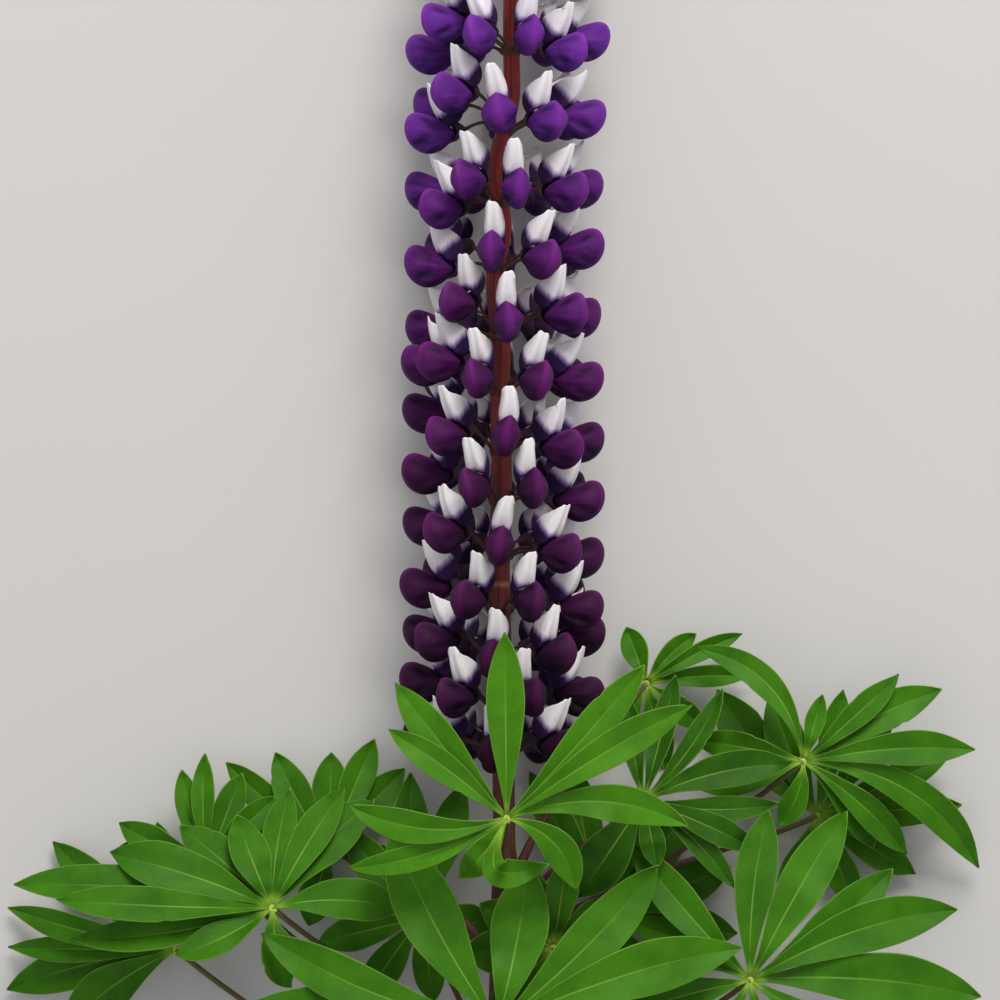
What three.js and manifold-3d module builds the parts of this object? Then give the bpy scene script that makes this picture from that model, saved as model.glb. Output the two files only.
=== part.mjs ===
// Lupin flower spike, picked with its leaves and laid down on a table.
// Y runs along the stem from the cut end to the tip, X is across and Z is up, in millimetres.
// The stem is one solid, each whorl of flowers is one solid joined by the swollen node that
// carries it, the buds at the tip are one solid, and each leaf is one solid with its stalk.

import * as THREE from 'three';
import { mergeVertices } from 'three/addons/utils/BufferGeometryUtils.js';
import Module from 'manifold-3d';

const wasm = await Module();
wasm.setup();

// Driving dimensions: millimetres, and degrees for directions.
// A direction round the stem is 0 straight up and grows towards +X.

const GAP = 0.3; // between pieces that touch

// Stem: [along Y, across X, height Z] of its middle, and [along Y, radius].
const STEM_PATH = [
  [-182, -3, 4.2],
  [-25, 1.2, 30.2],
  [52, -0.2, 30.2],
  [83, 0.4, 30.2],
  [104, 0, 30.2],
  [118, 0.5, 30.2],
  [139, -1.6, 30.2],
  [156, 0.9, 30.2],
  [171, -1.2, 30.2],
  [197, 3.6, 30.2],
  [212, 3.4, 30.2],
  [338, 9.6, 27.5],
];
const STEM_RADIUS = [
  [-182, 3.9],
  [0, 3.3],
  [212, 2.5],
  [338, 0.9],
];
const STEM_SIDES = 8;
const STEM_FOOT_STEPS = 8; // between the cut end and the lowest whorl

// The line that the flowers stand round: [along Y, across X, height Z].
const SPIKE_AXIS = [
  [0, 1, 30.2],
  [160, 1, 30.2],
  [338, 9.6, 27.5],
];

// A flower seen from its side: out from the spike's axis and up from the middle of its wings.
const STALK_RADIUS = 0.6;
const STALK_DROP = 3; // the stalk leaves the stem this far below the wings
const STALK_SHIFT = 0.15; // share of a flower's lift that its stalk's foot has
const CALYX_OUT = 13.4;
const CALYX_UP = 1.4;
// Calyx and wings: [out, top, bottom, half width].
const WINGS = [
  [12.4, 2.0, 0.8, 0.6],
  [15.6, 3.2, -2.2, 2.3],
  [22.9, 5.8, -6.6, 4.3],
  [28.0, 6.6, -4.2, 3.7],
  [30.6, 3.0, 0.6, 1.2],
];
// Banner: [up, back, front, half width].
const BANNER = [
  [3.0, 14.6, 20.4, 2.8],
  [15.6, 21.6, 24.6, 2.2],
];
const OPEN_SIZE = 0.62; // a flower below this share of full size is a closed bud

// Whorls of open flowers: height along Y, then [direction, lift] of each flower.
const WHORLS = [
  {
    height: 0,
    flowers: [[-154, 0], [-104, 1], [-60, 0], [-8, -1], [46, 0], [100, 0], [152, 0]],
  },
  {
    height: 14,
    flowers: [[-128, 0], [-84, 4], [-36, 0.5], [19, 1], [74, 1], [126, 0], [180, 0]],
  },
  {
    height: 28,
    flowers: [[-154, 0], [-106, 6], [-60, 3.5], [-8, -1], [44, -2], [102, 4], [154, 0]],
  },
  {
    height: 43.5,
    flowers: [[-130, 7], [-82, 3.5], [-24, 0.5], [20, -0.5], [74, -3], [128, 0], [178, 0]],
  },
  {
    height: 60,
    flowers: [[-154, 0], [-106, 6], [-50, 2.5], [-2, 0], [47, -2], [100, -5], [153, 0]],
  },
  {
    height: 76.5,
    flowers: [[-130, 7], [-78, 4], [-24, 1], [24, -0.5], [76, -4], [128, 0], [180, 0]],
  },
  {
    height: 91.5,
    flowers: [[-156, 2], [-106, 8], [-48, 1.5], [2, 0], [50, -2.5], [102, -1], [153, 0]],
  },
  {
    height: 109.5,
    flowers: [[-132, 0], [-84, 3], [-56, 5], [-20, 0.5], [26, -0.5], [78, 0], [128, 0], [180, 0]],
  },
  {
    height: 126,
    flowers: [[-158, 0], [-110, -2], [-36, 6], [2, 0], [53, 2], [104, 1.5], [154, 0]],
  },
  {
    height: 146,
    flowers: [[-132, 3], [-74, -4], [-10, 0.5], [30, -0.5], [78, 2], [128, 0], [180, 0]],
  },
  {
    height: 165.5,
    flowers: [[-156, 0], [-104, 0], [-54, -5], [-26, 3], [9, 0], [56, -0.5], [103, 2], [154, 0]],
  },
  {
    height: 188,
    flowers: [[-113, 3], [-76, -5], [-44, 6], [-4, 0], [33, -2], [78, 0], [128, 0], [-176, 0]],
  },
  {
    height: 211.5,
    flowers: [[-94, -5], [-60, 5], [-23, 0.5], [14, -0.5], [50, -4], [98, 0], [150, 0], [-150, 0]],
  },
];
// The flowers reach further out at the foot of the spike: [along Y, share of full reach].
const REACH = [
  [0, 1.05],
  [70, 1.02],
  [120, 1],
  [230, 0.98],
];

// Whorls above the open flowers grow smaller and closer together, up to the tip.
const YOUNG_WHORLS = 8;
const YOUNG_PITCH = [22, 8]; // height of the first step and of the last
const YOUNG_SIZE = [0.97, 0.27]; // share of full size of the first and of the last
const YOUNG_RISE = 48; // how steeply the last buds point to the tip
const YOUNG_COUNT = 7;
const YOUNG_START = 16; // direction of a flower in the first of them
const BUD_OUTLINE = 3; // closed buds keep every step of the wings but this one

// The tip: a cone [radius, along Y] of the last buds, and a ring of buds leaning out round it.
const TIP_PROFILE = [
  [0, 0],
  [2.2, 0.5],
  [2.8, 4],
  [1.9, 9],
  [0, 13],
];
const TIP_COUNT = 6;
const TIP_BUD = [1.3, 3.6, 1.3];
const TIP_LEAN = 0.45; // sideways for each millimetre along

// A node: the swollen ring of stem that carries a whorl.
const NODE_GAP = 0.4;
const NODE_HALF_HEIGHT = 1.2;
const NODE_WALL = 0.9;
const NODE_SIDES = 6;

// The surface presses the flowers that reach it: this is how softly it does.
const PRESS = 1.6;

// Leaves: where the leaflets meet, how the leaf slopes across and along, where the stalk leaves
// the stem and in which direction, and for each leaflet its tip from the hub in plan, its width,
// how far it bows to its left and how far its tip falls below the slope.
const LEAVES = [
  {
    name: 'leaf_front',
    hub: [2, -20, 69],
    slope: [0, 0.02],
    stalk: { from: -50, towards: -20 },
    leaflets: [
      [-0.6, 54.6, 11.4, 0, -2],
      [40.5, 45, 10.6, -1, 0],
      [54.5, 33.2, 10.6, 1.5, 1],
      [53.4, -2.4, 10.8, 6, 4],
      [20.4, -21.9, 10, 5, 8],
      [12.5, -13.5, 9, -12.5, 9],
      [-14, -18, 9, 1, 7],
      [-47, -15, 8, 3, 5],
      [-46.5, 3.6, 9.6, 5, 3],
      [-34.8, 26, 9, -1, 3],
      [-32.7, 39.6, 11.4, 1, 0],
    ],
  },
  {
    name: 'leaf_low_front',
    hub: [-1, -82, 55],
    slope: [0, -0.08],
    stalk: { from: -150, towards: 10 },
    leaflets: [
      [-70, 26.7, 14, 4, 6],
      [-31.5, 58, 18, 2, 4],
      [9.5, 47, 17, -1, 4],
      [48, 46.8, 15.5, -2, 4],
      [73, 22.5, 15.5, 3, 5],
      [72, -8, 14, 2, 7],
      [50, -34, 14, 2, 8],
      [16, -52, 13, 0, 8],
      [-20, -50, 13, 0, 8],
      [-54, -30, 14, -2, 8],
      [-78, 3, 15, -3, 7],
    ],
  },
  {
    name: 'leaf_low_right',
    hub: [74.7, -69.6, 42],
    slope: [-0.02, -0.08],
    stalk: { from: -135, towards: 60 },
    leaflets: [
      [-35.4, 40.5, 12, 1, 8],
      [5.7, 50.4, 12.5, 2, 3],
      [29, 50, 14, 1, 3],
      [43, 32.4, 13, -2, 10],
      [62, 20.7, 15, 4, 3],
      [69, -5.4, 17, 3, 5],
      [46, -38, 15, 2, 8],
      [10, -52, 14, 0, 8],
      [-24, -44, 13, 0, 8],
      [-42, -12, 13, -1, 8],
      [-36.6, 17.4, 11, -1, 11],
    ],
  },
  {
    name: 'leaf_right',
    hub: [91.2, -5.1, 26],
    slope: [0.02, -0.1],
    stalk: { from: -84, towards: 75 },
    leaflets: [
      [6, 20, 6, 0, 4],
      [29, 26, 8, 0, 6],
      [41.7, 21.6, 11.5, 2, 2],
      [51.6, 3.6, 10.5, 2, 2],
      [54, -33, 11, 9, 23],
      [31.8, -28.5, 9, 2, 16],
      [21.4, -26.7, 10, 3, 14],
      [-7.8, -19.5, 8, 2, 5],
      [-30, -9, 9, 0, 6],
      [-33, 6, 9, -1, 9],
      [-31.8, 34.2, 9, -8, 2],
    ],
  },
  {
    name: 'leaf_inner_right',
    hub: [43, -16.2, 36],
    slope: [0.06, -0.3],
    stalk: { from: -52, towards: 60 },
    leaflets: [
      [-4, 30, 7, 1, 2],
      [10, 37, 8, 0, 2],
      [24, 33, 7, -2, 2],
      [44.4, 10.8, 11, 3, 1],
      [40.5, -1, 8, -2, 5],
      [34, -15, 9, 1, 9],
      [27, -26, 7, 2, 6],
      [4, -20, 8, 0, 2],
      [-20, -29, 15, 0, 6],
    ],
  },
  {
    name: 'leaf_left',
    hub: [-68, -48.2, 40],
    slope: [-0.1, -0.5],
    stalk: { from: -108, towards: -70 },
    leaflets: [
      [-77, 7, 14, -3, 4],
      [-64, 3, 12, 0, 6],
      [-48.6, 16.5, 15, -2, 2],
      [-28, 24, 13, -1, 2],
      [-11, 27, 12, 0, 2],
      [4.5, 35, 10, 1, 2],
      [21, 35, 11, 1, 2],
      [30, 31.5, 14, 2, 1],
      [39, -0.6, 14, 3, 3],
      [5.7, -24, 12, -1, 14],
      [-28.5, -13.5, 11, 1, 6],
      [-60, -9, 11, 2, 9],
    ],
  },
  {
    name: 'leaf_back_left',
    hub: [-52, -32, 12],
    slope: [-0.02, 0.05],
    stalk: { from: -62, towards: -95 },
    leaflets: [
      [-31, 26, 10, 1, 5],
      [-16, 29, 11, 1, 4],
      [1, 29, 11, 0, 4],
      [14, 33, 10, 0, 5],
      [23, 24, 10, 0, 6],
      [24, -6, 10, 0, 7],
      [-6, -24, 11, 0, 9],
      [-36, 10, 10, 0, 6],
    ],
  },
  {
    name: 'leaf_low_left',
    hub: [-98, -62.4, 14],
    slope: [0.1, 0],
    stalk: { from: -146, towards: -85 },
    leaflets: [
      [-51.5, 12, 9, 1, 6],
      [-38, 32, 12, 1, 8],
      [-6, 38, 12, 0, 8],
      [22, 26, 12, 0, 8],
      [-34, -24, 14, -2, 7],
      [-52, -13, 13, -2, 6],
      [-51.5, 0, 8, 0, 6],
    ],
  },
  {
    name: 'leaf_back_right',
    hub: [44.4, 18, 10],
    slope: [0, 0.1],
    stalk: { from: -36, towards: 100 },
    leaflets: [
      [-6, 17, 8, 0, 3],
      [15, 15, 7, 1, 2],
      [29, 15, 6, 1, 2],
      [31, 2, 7, 1, 4],
      [18, -14, 8, 0, 5],
      [6, -26, 9, 0, 7],
      [-12, -20, 8, 0, 6],
    ],
  },
  {
    name: 'leaf_mid_left',
    hub: [-24, -52, 21],
    slope: [0.02, -0.05],
    stalk: { from: -96, towards: -50 },
    leaflets: [
      [-30, 10, 11, 1, 4],
      [-22, 26, 11, 1, 5],
      [-3, 43, 11, 1, 5],
      [13, 40, 11, 0, 4],
      [-31, -8, 11, 0, 5],
      [-18, -26, 11, 0, 6],
      [4, -26, 10, 0, 5],
      [22, -3, 11, 0, 8],
    ],
  },
  {
    name: 'leaf_mid_right',
    hub: [32, -52, 9],
    slope: [0, 0],
    stalk: { from: -92, towards: 120 },
    leaflets: [
      [-23, 43, 11, 0, 3],
      [-10, 46, 12, 1, 3],
      [8, 35, 12, 0, 3],
      [26, 32, 13, 0, 3],
      [38, 14, 14, 0, 3],
      [40, -6, 13, 0, 3],
      [20, -30, 12, 0, 3],
      [-8, -30, 12, 0, 3],
    ],
  },
  {
    name: 'leaf_far_right',
    hub: [96, -22, 12],
    slope: [0, 0.05],
    stalk: { from: -70, towards: 110 },
    leaflets: [
      [-30, 38, 15, 2, 4],
      [-14, 37, 12, 1, 4],
      [8, 38, 9, 0, 4],
      [24, 36, 9, -1, 4],
      [40, 18, 10, 0, 4],
      [44, 3, 10, 0, 5],
      [30, -18, 10, 0, 6],
      [12, -28, 10, 0, 6],
      [-10, -28, 10, 0, 6],
    ],
  },
  {
    name: 'leaf_far_left',
    hub: [-88, -36, 20],
    slope: [0, -0.05],
    stalk: { from: -122, towards: -80 },
    leaflets: [
      [-28, 4, 10, 0, 4],
      [-27, 12, 10, 1, 4],
      [-8, 28, 8, 1, 2],
      [-1, 33, 7, 1, 1],
      [10, 27, 9, 0, 3],
      [20, 20, 9, 0, 4],
      [-14, -22, 9, 0, 5],
    ],
  },
  {
    name: 'leaf_centre',
    hub: [16, -60, 41],
    slope: [0, 0],
    stalk: { from: -100, towards: 35 },
    leaflets: [
      [-27, -2, 13, 0, 3],
      [-22, 13, 12, 0, 2],
      [-8, 24, 11, 1, 3],
      [4, 26, 10, 0, 4],
      [18, 14, 10, 0, 4],
      [22, -4, 10, 0, 4],
      [-18, -18, 11, 0, 3],
      [8, -22, 11, 0, 4],
    ],
  },
];
const LEAFLET_STEPS = 3;
const LEAFLET_KEEL = 1; // depth of the midrib below the blade
const LEAFLET_LEAST = 0.8; // least width, at the hub and at the tip
const LEAFLET_ARCH = 0.05; // how far the middle of a leaflet rises, per millimetre of length
const HUB_RADIUS = 2.2;
const PETIOLE_RADIUS = [1.5, 0.85]; // at the stem and at the hub

// Values between knots, eased so that each knot is a smooth turn.
function between(knots, y) {
  let i = 0;
  while (i < knots.length - 2 && y > knots[i + 1][0]) {
    i += 1;
  }
  const [start, end] = [knots[i], knots[i + 1]];
  const t = THREE.MathUtils.smoothstep(y, start[0], end[0]);
  return start.slice(1).map((value, k) => THREE.MathUtils.lerp(value, end[k + 1], t));
}

function onPath(path, y) {
  const [x, z] = between(path, y);
  return new THREE.Vector3(x, y, z);
}

function roundStem(direction) {
  const angle = THREE.MathUtils.degToRad(direction);
  return new THREE.Vector3(Math.sin(angle), 0, Math.cos(angle));
}

function pressed(point) {
  point.z = 0.5 * (point.z + Math.hypot(point.z, PRESS));
  return point;
}

// A closed body with a ring of corners at each step: place(step, across, through) puts a corner.
function loft(sides, steps, turn, place) {
  const geometry = new THREE.CylinderGeometry(1, 1, steps, sides, steps, false, turn);
  const position = geometry.attributes.position;
  for (let i = 0; i < position.count; i += 1) {
    const step = Math.round(position.getY(i) + steps / 2);
    const corner = place(step, position.getX(i), position.getZ(i));
    position.setXYZ(i, corner.x, corner.y, corner.z);
  }
  return solid(geometry);
}

function solid(geometry) {
  geometry.deleteAttribute('normal');
  geometry.deleteAttribute('uv');
  const merged = mergeVertices(geometry, 1e-5);
  return new wasm.Manifold(
    new wasm.Mesh({
      numProp: 3,
      vertProperties: new Float32Array(merged.attributes.position.array),
      triVerts: new Uint32Array(merged.index.array),
    }),
  );
}

function join(solids) {
  return solids.reduce((whole, piece) => whole.add(piece));
}

function mesh(name, body, color, roughness) {
  const { vertProperties, triVerts } = body.getMesh();
  const geometry = new THREE.BufferGeometry();
  geometry.setAttribute('position', new THREE.BufferAttribute(vertProperties, 3));
  geometry.setIndex(new THREE.BufferAttribute(triVerts, 1));
  geometry.computeVertexNormals();
  const material = new THREE.MeshStandardMaterial({ color, roughness, metalness: 0 });
  const named = new THREE.Mesh(geometry, material);
  named.name = name;
  return named;
}

// Stem

// The stem has a ring of corners at every node, so it runs true through each of them.
function stemSolid(nodeHeights) {
  const [foot, top] = [STEM_PATH[0][0], STEM_PATH.at(-1)[0]];
  const heights = [];
  for (let i = 0; i < STEM_FOOT_STEPS; i += 1) {
    heights.push(THREE.MathUtils.lerp(foot, nodeHeights[0], i / STEM_FOOT_STEPS));
  }
  heights.push(...nodeHeights, top);
  return loft(STEM_SIDES, heights.length - 1, 0, (step, across, through) => {
    const [radius] = between(STEM_RADIUS, heights[step]);
    const point = onPath(STEM_PATH, heights[step]);
    return point.add(new THREE.Vector3(across * radius, 0, through * radius));
  });
}

// The turn that brings a straight stem along Y to the stem's own direction.
function stemLean(y) {
  const direction = onPath(STEM_PATH, y + 1).sub(onPath(STEM_PATH, y - 1)).normalize();
  return new THREE.Quaternion().setFromUnitVectors(new THREE.Vector3(0, 1, 0), direction);
}

// Flowers

function nodeRing(height) {
  const [radius] = between(STEM_RADIUS, height);
  const inner = (radius + NODE_GAP) / Math.cos(Math.PI / NODE_SIDES);
  const outer = inner + NODE_WALL;
  const profile = [
    [inner, -NODE_HALF_HEIGHT],
    [outer, -NODE_HALF_HEIGHT],
    [outer, NODE_HALF_HEIGHT],
    [inner, NODE_HALF_HEIGHT],
    [inner, -NODE_HALF_HEIGHT],
  ].map(([x, y]) => new THREE.Vector2(x, y));
  const ring = new THREE.LatheGeometry(profile, NODE_SIDES);
  ring.applyQuaternion(stemLean(height));
  ring.translate(...onPath(STEM_PATH, height).toArray());
  return solid(ring);
}

// Puts a point of the flower's side view, and its distance to the side, where the flower is.
function flowerPlacer(flower) {
  const outward = roundStem(flower.direction);
  const along = new THREE.Vector3(0, 1, 0);
  const sideways = new THREE.Vector3().crossVectors(outward, along);
  const rise = THREE.MathUtils.degToRad(flower.rise);
  const middle = onPath(SPIKE_AXIS, flower.height);
  return (out, up, side) => {
    const [u, v] = [(out - CALYX_OUT) * flower.size, (up - CALYX_UP) * flower.size];
    const reach = CALYX_OUT * flower.reach + u * Math.cos(rise) - v * Math.sin(rise);
    const climb = CALYX_UP + u * Math.sin(rise) + v * Math.cos(rise);
    const point = middle.clone();
    point.addScaledVector(outward, reach);
    point.addScaledVector(along, climb);
    point.addScaledVector(sideways, side * flower.size);
    return pressed(point);
  };
}

function stalkFoot(flower, base) {
  const [radius] = between(STEM_RADIUS, base);
  const foot = roundStem(flower.direction).multiplyScalar(radius + NODE_GAP + NODE_WALL / 2);
  foot.y = STALK_SHIFT * flower.lift;
  return foot.applyQuaternion(stemLean(base)).add(onPath(STEM_PATH, base));
}

// The stalk, the calyx and the two wings, which meet in one pouch.
function wingSolid(flower, base) {
  const place = flowerPlacer(flower);
  const foot = stalkFoot(flower, base);
  const outward = roundStem(flower.direction);
  const sideways = new THREE.Vector3(-outward.z, 0, outward.x);
  const outline = flower.size > OPEN_SIZE ? WINGS : WINGS.filter((_, i) => i !== BUD_OUTLINE);
  return loft(4, outline.length, 0, (step, side, through) => {
    if (step === 0) {
      const corner = foot.clone().addScaledVector(sideways, side * STALK_RADIUS);
      corner.y += through * STALK_RADIUS;
      return corner;
    }
    const [out, top, bottom, halfWidth] = outline[step - 1];
    return place(out, THREE.MathUtils.lerp(bottom, top, (through + 1) / 2), side * halfWidth);
  });
}

// The banner is folded back on itself, with its crease to the front.
function bannerSolid(flower) {
  const place = flowerPlacer(flower);
  const corner = Math.sin(Math.PI / 3);
  return loft(3, BANNER.length - 1, Math.PI, (step, across, through) => {
    const [up, back, front, halfWidth] = BANNER[step];
    const share = (0.5 - through) / 1.5;
    return place(THREE.MathUtils.lerp(back, front, share), up, (across / corner) * halfWidth);
  });
}

function whorlSolid(whorl) {
  const base = nodeHeight(whorl);
  const solids = [nodeRing(base)];
  for (const flower of whorl.flowers) {
    solids.push(wingSolid(flower, base));
    if (flower.size > OPEN_SIZE) {
      solids.push(bannerSolid(flower));
    }
  }
  return join(solids);
}

function openWhorls() {
  return WHORLS.map(({ height, flowers }) => ({
    height,
    flowers: flowers.map(([direction, lift]) => {
      const [reach] = between(REACH, height);
      return { direction, lift, height: height + lift, size: 1, reach, rise: 0 };
    }),
  }));
}

function youngWhorls() {
  const whorls = [];
  let height = WHORLS.at(-1).height;
  for (let k = 0; k < YOUNG_WHORLS; k += 1) {
    const age = k / (YOUNG_WHORLS - 1);
    height += THREE.MathUtils.lerp(...YOUNG_PITCH, age);
    const size = THREE.MathUtils.lerp(...YOUNG_SIZE, age);
    const flowers = [];
    for (let i = 0; i < YOUNG_COUNT; i += 1) {
      const direction = YOUNG_START + ((i + (k % 2) / 2) * 360) / YOUNG_COUNT;
      const lift = 1.5 * size * Math.sin(5 * i + 2 * k);
      const reach = size * (1 - 0.25 * age);
      flowers.push({ direction, lift, height: height + lift, size, reach, rise: YOUNG_RISE * age });
    }
    whorls.push({ height, flowers });
  }
  return whorls;
}

function nodeHeight({ height, flowers }) {
  return height - STALK_DROP * flowers[0].size;
}

// The youngest buds, packed round the end of the stem.
function tipSolid() {
  const end = onPath(STEM_PATH, STEM_PATH.at(-1)[0] + GAP);
  const profile = TIP_PROFILE.map(([x, y]) => new THREE.Vector2(x, y));
  const cone = new THREE.LatheGeometry(profile, TIP_COUNT);
  cone.translate(...end.toArray());
  const buds = [];
  for (let i = 0; i < TIP_COUNT; i += 1) {
    const outward = roundStem(((i + 0.5) * 360) / TIP_COUNT);
    const bud = new THREE.SphereGeometry(1, 4, 4);
    bud.scale(...TIP_BUD);
    bud.translate(0, TIP_BUD[1], 0);
    const lean = new THREE.Vector3(0, 1, 0).addScaledVector(outward, TIP_LEAN).normalize();
    bud.applyQuaternion(new THREE.Quaternion().setFromUnitVectors(new THREE.Vector3(0, 1, 0), lean));
    bud.translate(...end.clone().addScaledVector(outward, TIP_BUD[0]).toArray());
    bud.translate(0, 1, 0);
    buds.push(solid(bud));
  }
  return join([solid(cone), ...buds]);
}

// Leaves

// Share of the full width along a leaflet: broadest beyond the middle, and pointed.
function leafletShape(t) {
  return Math.sin(Math.PI * t ** 1.25) ** 0.9;
}

// A leaflet is a keeled blade: flat above, with the midrib standing out below.
function leafletSolid(leaf, [across, along, width, bow, fall]) {
  const hub = new THREE.Vector3(...leaf.hub);
  const normal = new THREE.Vector3(-leaf.slope[0], -leaf.slope[1], 1).normalize();
  const length = Math.hypot(across, along);
  const drop = leaf.slope[0] * across + leaf.slope[1] * along - fall;
  const tip = hub.clone().add(new THREE.Vector3(across, along, drop));
  const middle = hub.clone().lerp(tip, 0.5);
  middle.add(new THREE.Vector3(-along, across, 0).multiplyScalar((2 * bow) / length));
  middle.z += 2 * LEAFLET_ARCH * length + fall / 2;
  const rib = new THREE.QuadraticBezierCurve3(hub, middle, tip);
  const start = (0.5 * HUB_RADIUS) / length;
  const corner = Math.sin(Math.PI / 3);
  return loft(3, LEAFLET_STEPS, Math.PI / 3, (step, x, z) => {
    const t = THREE.MathUtils.lerp(start, 1, step / LEAFLET_STEPS);
    const tangent = rib.getTangent(t);
    const side = new THREE.Vector3().crossVectors(tangent, normal).normalize();
    const up = new THREE.Vector3().crossVectors(side, tangent);
    const halfWidth = Math.max((width / 2) * leafletShape(t), LEAFLET_LEAST / 2);
    const sink = z < -0.6 ? Math.min(LEAFLET_KEEL, halfWidth) : 0;
    return rib.getPoint(t).addScaledVector(side, (x / corner) * halfWidth).addScaledVector(up, -sink);
  });
}

function petioleSolid(leaf) {
  const { from, towards } = leaf.stalk;
  const outward = roundStem(towards);
  const hub = new THREE.Vector3(...leaf.hub);
  const [stemRadius] = between(STEM_RADIUS, from);
  const foot = onPath(STEM_PATH, from).addScaledVector(
    outward,
    stemRadius + GAP + PETIOLE_RADIUS[0],
  );
  const span = foot.distanceTo(hub);
  const leave = foot.clone().addScaledVector(outward, 0.12 * span);
  leave.y += 0.3 * span;
  const arrive = hub.clone().lerp(foot, 0.3);
  arrive.z -= 0.12 * span;
  const line = new THREE.CubicBezierCurve3(foot, leave, arrive, hub);
  const steps = 6;
  return loft(4, steps, 0, (step, x, z) => {
    const t = step / steps;
    const tangent = line.getTangent(t);
    const side = new THREE.Vector3(0, 0, 1).cross(tangent).negate().normalize();
    const up = new THREE.Vector3().crossVectors(side, tangent);
    const radius = THREE.MathUtils.lerp(...PETIOLE_RADIUS, Math.min(1, 3 * t));
    return line.getPoint(t).addScaledVector(side, x * radius).addScaledVector(up, z * radius);
  });
}

function leafSolid(leaf) {
  const ball = new THREE.IcosahedronGeometry(HUB_RADIUS);
  ball.translate(...leaf.hub);
  return join([
    solid(ball),
    petioleSolid(leaf),
    ...leaf.leaflets.map((leaflet) => leafletSolid(leaf, leaflet)),
  ]);
}

// Assembly

const STEM_COLOR = 0x5a2320;
const LEAF_COLOR = 0x3f7a1e;
const BUD_COLOR = 0x3a2f4a;
const LOW_WHORL_COLOR = new THREE.Color(0x2a0c33);
const HIGH_WHORL_COLOR = new THREE.Color(0x4b2090);

const parts = new THREE.Group();
const whorls = [...openWhorls(), ...youngWhorls()];
parts.add(mesh('flower_stem', stemSolid(whorls.map(nodeHeight)), STEM_COLOR, 0.55));
whorls.forEach((whorl, i) => {
  const share = whorl.height / whorls.at(-1).height;
  const color = LOW_WHORL_COLOR.clone().lerp(HIGH_WHORL_COLOR, share);
  const name = `whorl_${String(i + 1).padStart(2, '0')}`;
  parts.add(mesh(name, whorlSolid(whorl), color, 0.6));
});
parts.add(mesh('bud_tip', tipSolid(), BUD_COLOR, 0.6));
for (const leaf of LEAVES) {
  parts.add(mesh(leaf.name, leafSolid(leaf), LEAF_COLOR, 0.5));
}

// The origin is under the middle of the whole flower, on the table.
const box = new THREE.Box3().setFromObject(parts);
const middle = box.getCenter(new THREE.Vector3());
parts.position.set(-middle.x, -middle.y, -box.min.z);
const lupin = new THREE.Group();
lupin.add(parts);

export default lupin;
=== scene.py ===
# The looks of a picked lupin flower spike that lies on a pale surface.
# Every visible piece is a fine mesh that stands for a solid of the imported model.
# The modelling frame is in millimetres: Y runs along the stem from its cut end to the tip,
# X is across and Z is up, and the spike's lowest whorl of flowers is at Y 0.

import math

import bpy
import numpy as np
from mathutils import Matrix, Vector


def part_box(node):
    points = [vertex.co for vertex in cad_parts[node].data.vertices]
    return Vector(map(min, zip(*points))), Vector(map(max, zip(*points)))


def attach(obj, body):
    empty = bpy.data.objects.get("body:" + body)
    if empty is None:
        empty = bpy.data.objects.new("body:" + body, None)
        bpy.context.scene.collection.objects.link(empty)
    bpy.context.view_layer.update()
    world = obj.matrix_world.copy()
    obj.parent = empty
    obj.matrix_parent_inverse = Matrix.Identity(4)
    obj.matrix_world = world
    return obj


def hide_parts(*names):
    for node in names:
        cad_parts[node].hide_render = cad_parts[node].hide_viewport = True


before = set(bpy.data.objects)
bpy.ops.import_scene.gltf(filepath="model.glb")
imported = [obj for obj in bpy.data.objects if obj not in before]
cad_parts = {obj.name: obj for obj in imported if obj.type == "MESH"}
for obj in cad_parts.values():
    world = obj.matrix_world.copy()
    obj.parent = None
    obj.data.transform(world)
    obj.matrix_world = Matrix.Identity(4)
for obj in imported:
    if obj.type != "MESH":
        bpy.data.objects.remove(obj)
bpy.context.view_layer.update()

MM = 0.001

# ---------------------------------------------------------------- driving dimensions, mm

# Stem: [along, across, height] of its middle, and [along, radius].
STEM_PATH = [
    (-182, -3, 4.2), (-25, 1.2, 30.2), (52, -0.2, 30.2), (83, 0.4, 30.2), (104, 0, 30.2),
    (118, 0.5, 30.2), (139, -1.6, 30.2), (156, 0.9, 30.2), (171, -1.2, 30.2), (197, 3.6, 30.2),
    (212, 3.4, 30.2), (338, 9.6, 27.5),
]
STEM_RADIUS = [(-182, 3.9), (0, 3.3), (212, 2.5), (338, 0.9)]
STEM_LOW_CORNER = (-6.9, -182, 0.3)  # of the stem's box
STEM_COLUMNS = 28
STEM_STEP = 1.3  # between its rows
STEM_RIBS = 7
STEM_RIB_DEPTH = 0.07
STEM_CUT_ROWS = (0.3, 0.62, 0.88, 0.97)  # rows of the cut end, as shares of its radius
STEM_DISH = 0.5  # how far the middle of the cut end is sunk
STEM_SCAR = (48, 0.5, 0.8)  # where it is, its half length and its strength
LEAF_FOOT = (4.5, 0.7)  # half length and height of the swelling under a leaf's stalk

# The line that the flowers stand round: [along, across, height].
SPIKE_AXIS = [(0, 1, 30.2), (160, 1, 30.2), (338, 9.6, 27.5)]
OPEN_TOP = 212  # the last whorl of fully open flowers

# A flower from its side: out from the spike's axis, and up from the middle of its wings.
CALYX = (13.4, 1.4)
STALK_DROP = 3
STALK_SHIFT = 0.15
STALK_RADIUS = (0.95, 0.5, 0.62)  # at the foot, along it and under the calyx
STALK_BEND = (0.35, 0.28)  # share of its length outwards and along the stem
OPEN_SIZE = 0.62  # smaller flowers are closed buds

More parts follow.
